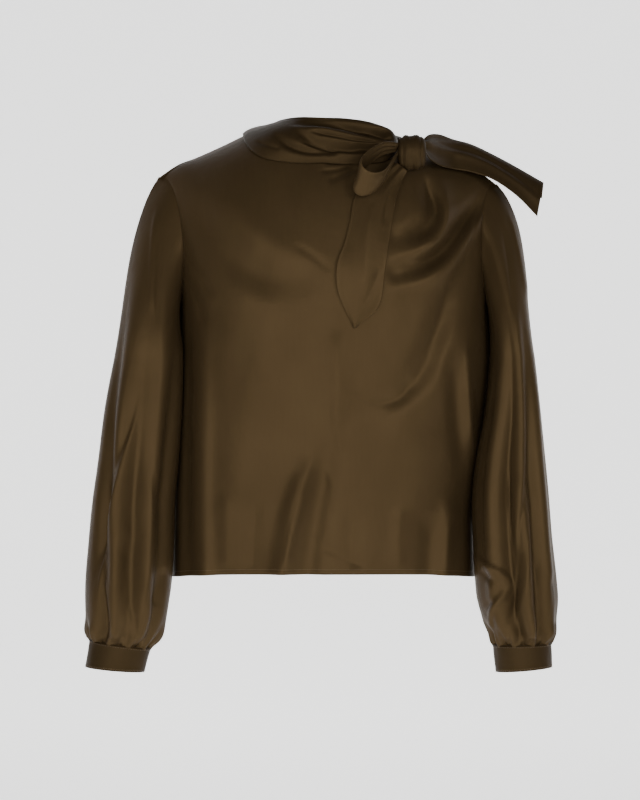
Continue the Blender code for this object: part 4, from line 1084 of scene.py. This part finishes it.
def button_finish():
    """A polished dark button with a faint grain."""
    button = Finish("button")
    place = button.node("TexCoord", {}, {}, "Object")
    stretched = button.node("Mapping", {}, {"Vector": place, "Scale": (90.0, 90.0, 620.0)})
    grain = button.node("TexNoise", {}, {"Vector": stretched, "Scale": 1.0, "Detail": 4.0})
    colour = button.node(
        "ValToRGB", {"stops": ((0.35, (0.020, 0.012, 0.007, 1)), (0.75, (0.075, 0.045, 0.024, 1)))},
        {"Fac": grain}, "Color",
    )
    normal = button.node("Bump", {}, {"Strength": 0.15, "Distance": 0.0001, "Height": grain})
    button.set(Base_Color=colour, Roughness=0.22 + grain * 0.15, Normal=normal, Coat_Weight=0.3)
    return button.material


SATIN = satin_finish("satin", 1.0)
# A darker copy of the satin: painted shade for the collar, cuffs, shoulder tail and knot
SATIN_PAINTED_SHADE = satin_finish("satin_painted_shade", 0.66)
THREAD = thread_finish()
BUTTON = button_finish()


def lay_cloth(name, grid, wall, satin, closed=False):
    """A thin shell whose outer face is the grid of points, with its weave laid out in metres."""
    rows, columns = grid.shape[:2]
    steps = columns - 1
    index = np.arange(rows * columns).reshape(rows, columns)
    if closed:
        index[:, -1] = index[:, 0]
    corners = ((0, 0), (0, 1), (1, 1), (1, 0))
    quads = np.stack([index[r: rows - 1 + r, c: steps + c] for r, c in corners], axis=-1).reshape(-1, 4)
    mesh = bpy.data.meshes.new(name)
    mesh.from_pydata(grid.reshape(-1, 3).tolist(), [], quads.tolist())
    width = np.mean(np.sum(length_of(np.diff(grid, axis=1)), axis=(1, 2)))
    length = np.mean(np.sum(length_of(np.diff(grid, axis=0)), axis=(0, 2)))
    place_u = np.linspace(0.0, width, columns)
    place_v = np.linspace(0.0, length, rows)
    down, over = np.meshgrid(np.arange(rows - 1), np.arange(steps), indexing="ij")
    layout = np.stack([np.stack((place_u[over + c], place_v[down + r]), axis=-1) for r, c in corners], axis=2)
    weave = mesh.uv_layers.new(name="weave")
    weave.data.foreach_set("uv", layout.reshape(-1))
    made = bpy.data.objects.new(name, mesh)
    bpy.context.scene.collection.objects.link(made)
    tidy(mesh)
    mesh.shade_smooth()
    mesh.materials.append(satin)
    if wall:
        thicken = made.modifiers.new("wall", "SOLIDIFY")
        thicken.thickness = wall
        thicken.offset = -1
    return made


def tidy(mesh):
    """Merges the points that meet at a tube's seam or a knot's end."""
    form = bmesh.new()
    form.from_mesh(mesh)
    bmesh.ops.remove_doubles(form, verts=form.verts, dist=0.000001)
    loose = [vertex for vertex in form.verts if not vertex.link_faces]
    bmesh.ops.delete(form, geom=loose, context="VERTS")
    form.to_mesh(mesh)
    form.free()


def stitch_tree():
    """Geometry Nodes that lay stitches along a line: their length, spacing and thickness are inputs."""
    tree = bpy.data.node_groups.new("stitches", "GeometryNodeTree")
    face = tree.interface
    face.new_socket("Geometry", in_out="INPUT", socket_type="NodeSocketGeometry")
    for name in ("Spacing", "Length", "Radius"):
        face.new_socket(name, in_out="INPUT", socket_type="NodeSocketFloat")
    face.new_socket("Geometry", in_out="OUTPUT", socket_type="NodeSocketGeometry")
    nodes, link = tree.nodes, tree.links.new
    given, result = nodes.new("NodeGroupInput"), nodes.new("NodeGroupOutput")
    curve = nodes.new("GeometryNodeMeshToCurve")
    spots = nodes.new("GeometryNodeCurveToPoints")
    spots.mode = "LENGTH"
    stitch = nodes.new("GeometryNodeMeshCylinder")
    stitch.inputs["Vertices"].default_value = 6
    place = nodes.new("GeometryNodeInstanceOnPoints")
    real = nodes.new("GeometryNodeRealizeInstances")
    dressed = nodes.new("GeometryNodeSetMaterial")
    dressed.inputs["Material"].default_value = THREAD
    link(given.outputs["Geometry"], curve.inputs[0])
    link(curve.outputs[0], spots.inputs["Curve"])
    link(given.outputs["Spacing"], spots.inputs["Length"])
    link(given.outputs["Length"], stitch.inputs["Depth"])
    link(given.outputs["Radius"], stitch.inputs["Radius"])
    link(spots.outputs["Points"], place.inputs["Points"])
    link(spots.outputs["Rotation"], place.inputs["Rotation"])
    link(stitch.outputs["Mesh"], place.inputs["Instance"])
    link(place.outputs["Instances"], real.inputs[0])
    link(real.outputs[0], dressed.inputs["Geometry"])
    link(dressed.outputs[0], result.inputs[0])
    return tree


STITCHES = stitch_tree()
STITCH_LIFT = 0.00012
HEM_DEPTH = 0.009
CUFF_STITCH_INSET = 0.0025
TAIL_STITCH_INSET = 0.002
STITCH_SIZES = {"Spacing": 0.0032, "Length": 0.0023, "Radius": 0.00017}


def sew(name, lines):
    """Rows of stitches along lines of points, as one plain mesh."""
    verts, edges = [], []
    for line in lines:
        edges += [(len(verts) + k, len(verts) + k + 1) for k in range(len(line) - 1)]
        verts += [tuple(spot) for spot in line]
    guide = bpy.data.meshes.new(name + "_guide")
    guide.from_pydata(verts, edges, [])
    holder = bpy.data.objects.new(name + "_guide", guide)
    bpy.context.scene.collection.objects.link(holder)
    nodes = holder.modifiers.new("stitches", "NODES")
    nodes.node_group = STITCHES
    for item in STITCHES.interface.items_tree:
        if item.name in STITCH_SIZES:
            nodes[item.identifier] = STITCH_SIZES[item.name]
    shown = bpy.context.evaluated_depsgraph_get()
    mesh = bpy.data.meshes.new_from_object(holder.evaluated_get(shown))
    bpy.data.objects.remove(holder)
    made = bpy.data.objects.new(name, mesh)
    bpy.context.scene.collection.objects.link(made)
    mesh.shade_smooth()
    return made


def line_on(grid, row, inset, start=0, end=None):
    """A line along the first or last row of a grid, just above the cloth, inset in metres from that edge."""
    raised = grid + outward_of(grid) * STITCH_LIFT
    up = 1 if row == 0 else -1
    beside = raised[row + up] - raised[row]
    return (raised[row] + beside / length_of(beside) * inset)[start:end]


# Pieces given the darker satin, painted shade where they sit in shadow or turn from the light. The knot is
# one more
PAINTED_SHADE_PIECES = ("collar", "cuff_right", "cuff_left", "tie_tail_shoulder")


def main():
    grids = {"front": panel(FRONT), "back": panel(BACK), "collar": collar()}
    for side, word in SIDE_NAMES.items():
        grids[f"sleeve_{word}"] = sleeve(side)
        grids[f"cuff_{word}"] = cuff(side)
    grids.update({"tie_loop": loop(), "tie_tail_front": tail_front(), "tie_tail_shoulder": tail_shoulder()})
    pieces = {}
    for name, grid in grids.items():
        wall = BAND if name.startswith("cuff") else CLOTH
        satin = SATIN_PAINTED_SHADE if name in PAINTED_SHADE_PIECES else SATIN
        pieces[name] = lay_cloth("cloth_" + name, grid, wall, satin, closed=name.startswith("sleeve"))
    # The knot takes the painted shade too
    pieces["tie_knot"] = lay_cloth("cloth_tie_knot", knot(), 0.0, SATIN_PAINTED_SHADE, closed=True)
    for name, piece in pieces.items():
        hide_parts(name)
        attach(piece, "root")
    for name, (width, length, area, held, rests_on) in CUTS.items():
        extra = [pieces["tie_knot"]] if name == "tie_loop" else []
    for node in ("cuff_button_right", "cuff_button_left"):
        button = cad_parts[node]
        button.data.materials.clear()
        button.data.materials.append(BUTTON)
    sewn = {
        "hem_stitches": [along_row(grids["front"], HEM_DEPTH), along_row(grids["back"], HEM_DEPTH)],
        "cuff_stitches_right": cuff_lines(grids["cuff_right"]),
        "cuff_stitches_left": cuff_lines(grids["cuff_left"]),
        "tie_stitches": [line_on(grids["tie_tail_front"], row=-1, inset=TAIL_STITCH_INSET)],
    }
    for name, lines in sewn.items():
        made = sew(name, lines)
        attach(made, "root")


def along_row(grid, height):
    """A line all along a panel at a height above its hem."""
    run = np.cumsum(length_of(np.diff(grid, axis=0))[..., 0], axis=0)
    row = int(np.argmax(np.mean(run, axis=1) > height))
    return (grid + outward_of(grid) * STITCH_LIFT)[row, 2:-2]


def cuff_lines(grid):
    """The stitch lines along a cuff's two edges."""
    return [line_on(grid, row=edge, inset=CUFF_STITCH_INSET, start=2, end=-2) for edge in (0, -1)]


# What each piece of cloth was cut to: width, length and area of what shows, how it is held, and by what
CUTS = {
    "front": (0.50, 0.62, 0.277, "hung", ["collar"]),
    "back": (0.50, 0.62, 0.259, "hung", ["collar"]),
    "collar": (0.53, 0.05, 0.022, "folded", ["front", "back"]),
    "sleeve_right": (0.34, 0.60, 0.177, "gathered", ["front", "back"]),
    "sleeve_left": (0.33, 0.60, 0.167, "gathered", ["front", "back"]),
    "cuff_right": (0.25, 0.0330, 0.0081, "hung", ["sleeve_right"]),
    "cuff_left": (0.25, 0.0330, 0.0081, "hung", ["sleeve_left"]),
    "tie_loop": (0.15, 0.030, 0.0042, "folded", ["tie_knot"]),
    "tie_tail_front": (0.06, 0.20, 0.010, "hung", ["tie_knot"]),
    "tie_tail_shoulder": (0.18, 0.085, 0.0136, "laid", ["front", "back"]),
}

PALE = (0.95, 0.95, 0.945, 1)
VIEW = {"place": (-0.00375, -4.0, -0.3125), "height": 1.0, "distance": 4.0, "sensor": 36.0}
FLOOR_Z = -1.4
WALL_Y = 1.9
WALL_TOP = 4.5
BEND = 0.5
BEND_STEPS = 12
HALF_WIDTH = 7.0
SWEEP_GLOW = 1.15
WORLD_LIGHT = 0.10
LAMPS = (
    ("left lamp", (-2.0, -3.6, 0.1), (0, 0, -0.3), 1.8, 52.0),
    ("right lamp", (1.9, -3.4, 0.6), (0, 0, -0.3), 1.1, 52.0),
    ("front lamp", (0.0, -4.8, 0.0), (0, 0, -0.3), 1.6, 62.0),
)


def studio():
    """A pale sweep behind and below, soft lamps and the camera."""
    profile = [(-HALF_WIDTH, FLOOR_Z)]
    for k in range(BEND_STEPS + 1):
        angle = 0.5 * math.pi * k / BEND_STEPS
        profile.append((WALL_Y - BEND + BEND * math.sin(angle), FLOOR_Z + BEND - BEND * math.cos(angle)))
    profile.append((WALL_Y, WALL_TOP))
    verts = [(x, y, z) for x in (-HALF_WIDTH, HALF_WIDTH) for y, z in profile]
    count = len(profile)
    faces = [(k, k + 1, count + k + 1, count + k) for k in range(count - 1)]
    mesh = bpy.data.meshes.new("sweep")
    mesh.from_pydata(verts, [], faces)
    mesh.shade_smooth()
    pale = Finish("pale_sweep")
    pale.set(Base_Color=PALE, Roughness=0.9, Emission_Color=PALE, Emission_Strength=SWEEP_GLOW)
    mesh.materials.append(pale.material)
    sweep = bpy.data.objects.new("sweep", mesh)
    bpy.context.scene.collection.objects.link(sweep)
    world = bpy.data.worlds.new("studio")
    world.use_nodes = True
    light = world.node_tree.nodes["Background"]
    light.inputs["Color"].default_value = (1.0, 1.0, 1.0, 1)
    light.inputs["Strength"].default_value = WORLD_LIGHT
    bpy.context.scene.world = world
    for name, spot, aim, size, power in LAMPS:
        lamp = bpy.data.lights.new(name, "AREA")
        lamp.size, lamp.energy = size, power
        holder = bpy.data.objects.new(name, lamp)
        holder.location = spot
        holder.rotation_euler = (Vector(aim) - Vector(spot)).to_track_quat("-Z", "Y").to_euler()
        bpy.context.scene.collection.objects.link(holder)
    camera = bpy.data.cameras.new("camera")
    camera.sensor_fit = "VERTICAL"
    camera.sensor_height = VIEW["sensor"]
    camera.lens = VIEW["sensor"] * VIEW["distance"] / VIEW["height"]
    holder = bpy.data.objects.new("camera", camera)
    holder.location = VIEW["place"]
    holder.rotation_euler = (0.5 * math.pi, 0, 0)
    bpy.context.scene.collection.objects.link(holder)
    bpy.context.scene.camera = holder


main()
studio()
bpy.context.view_layer.update()
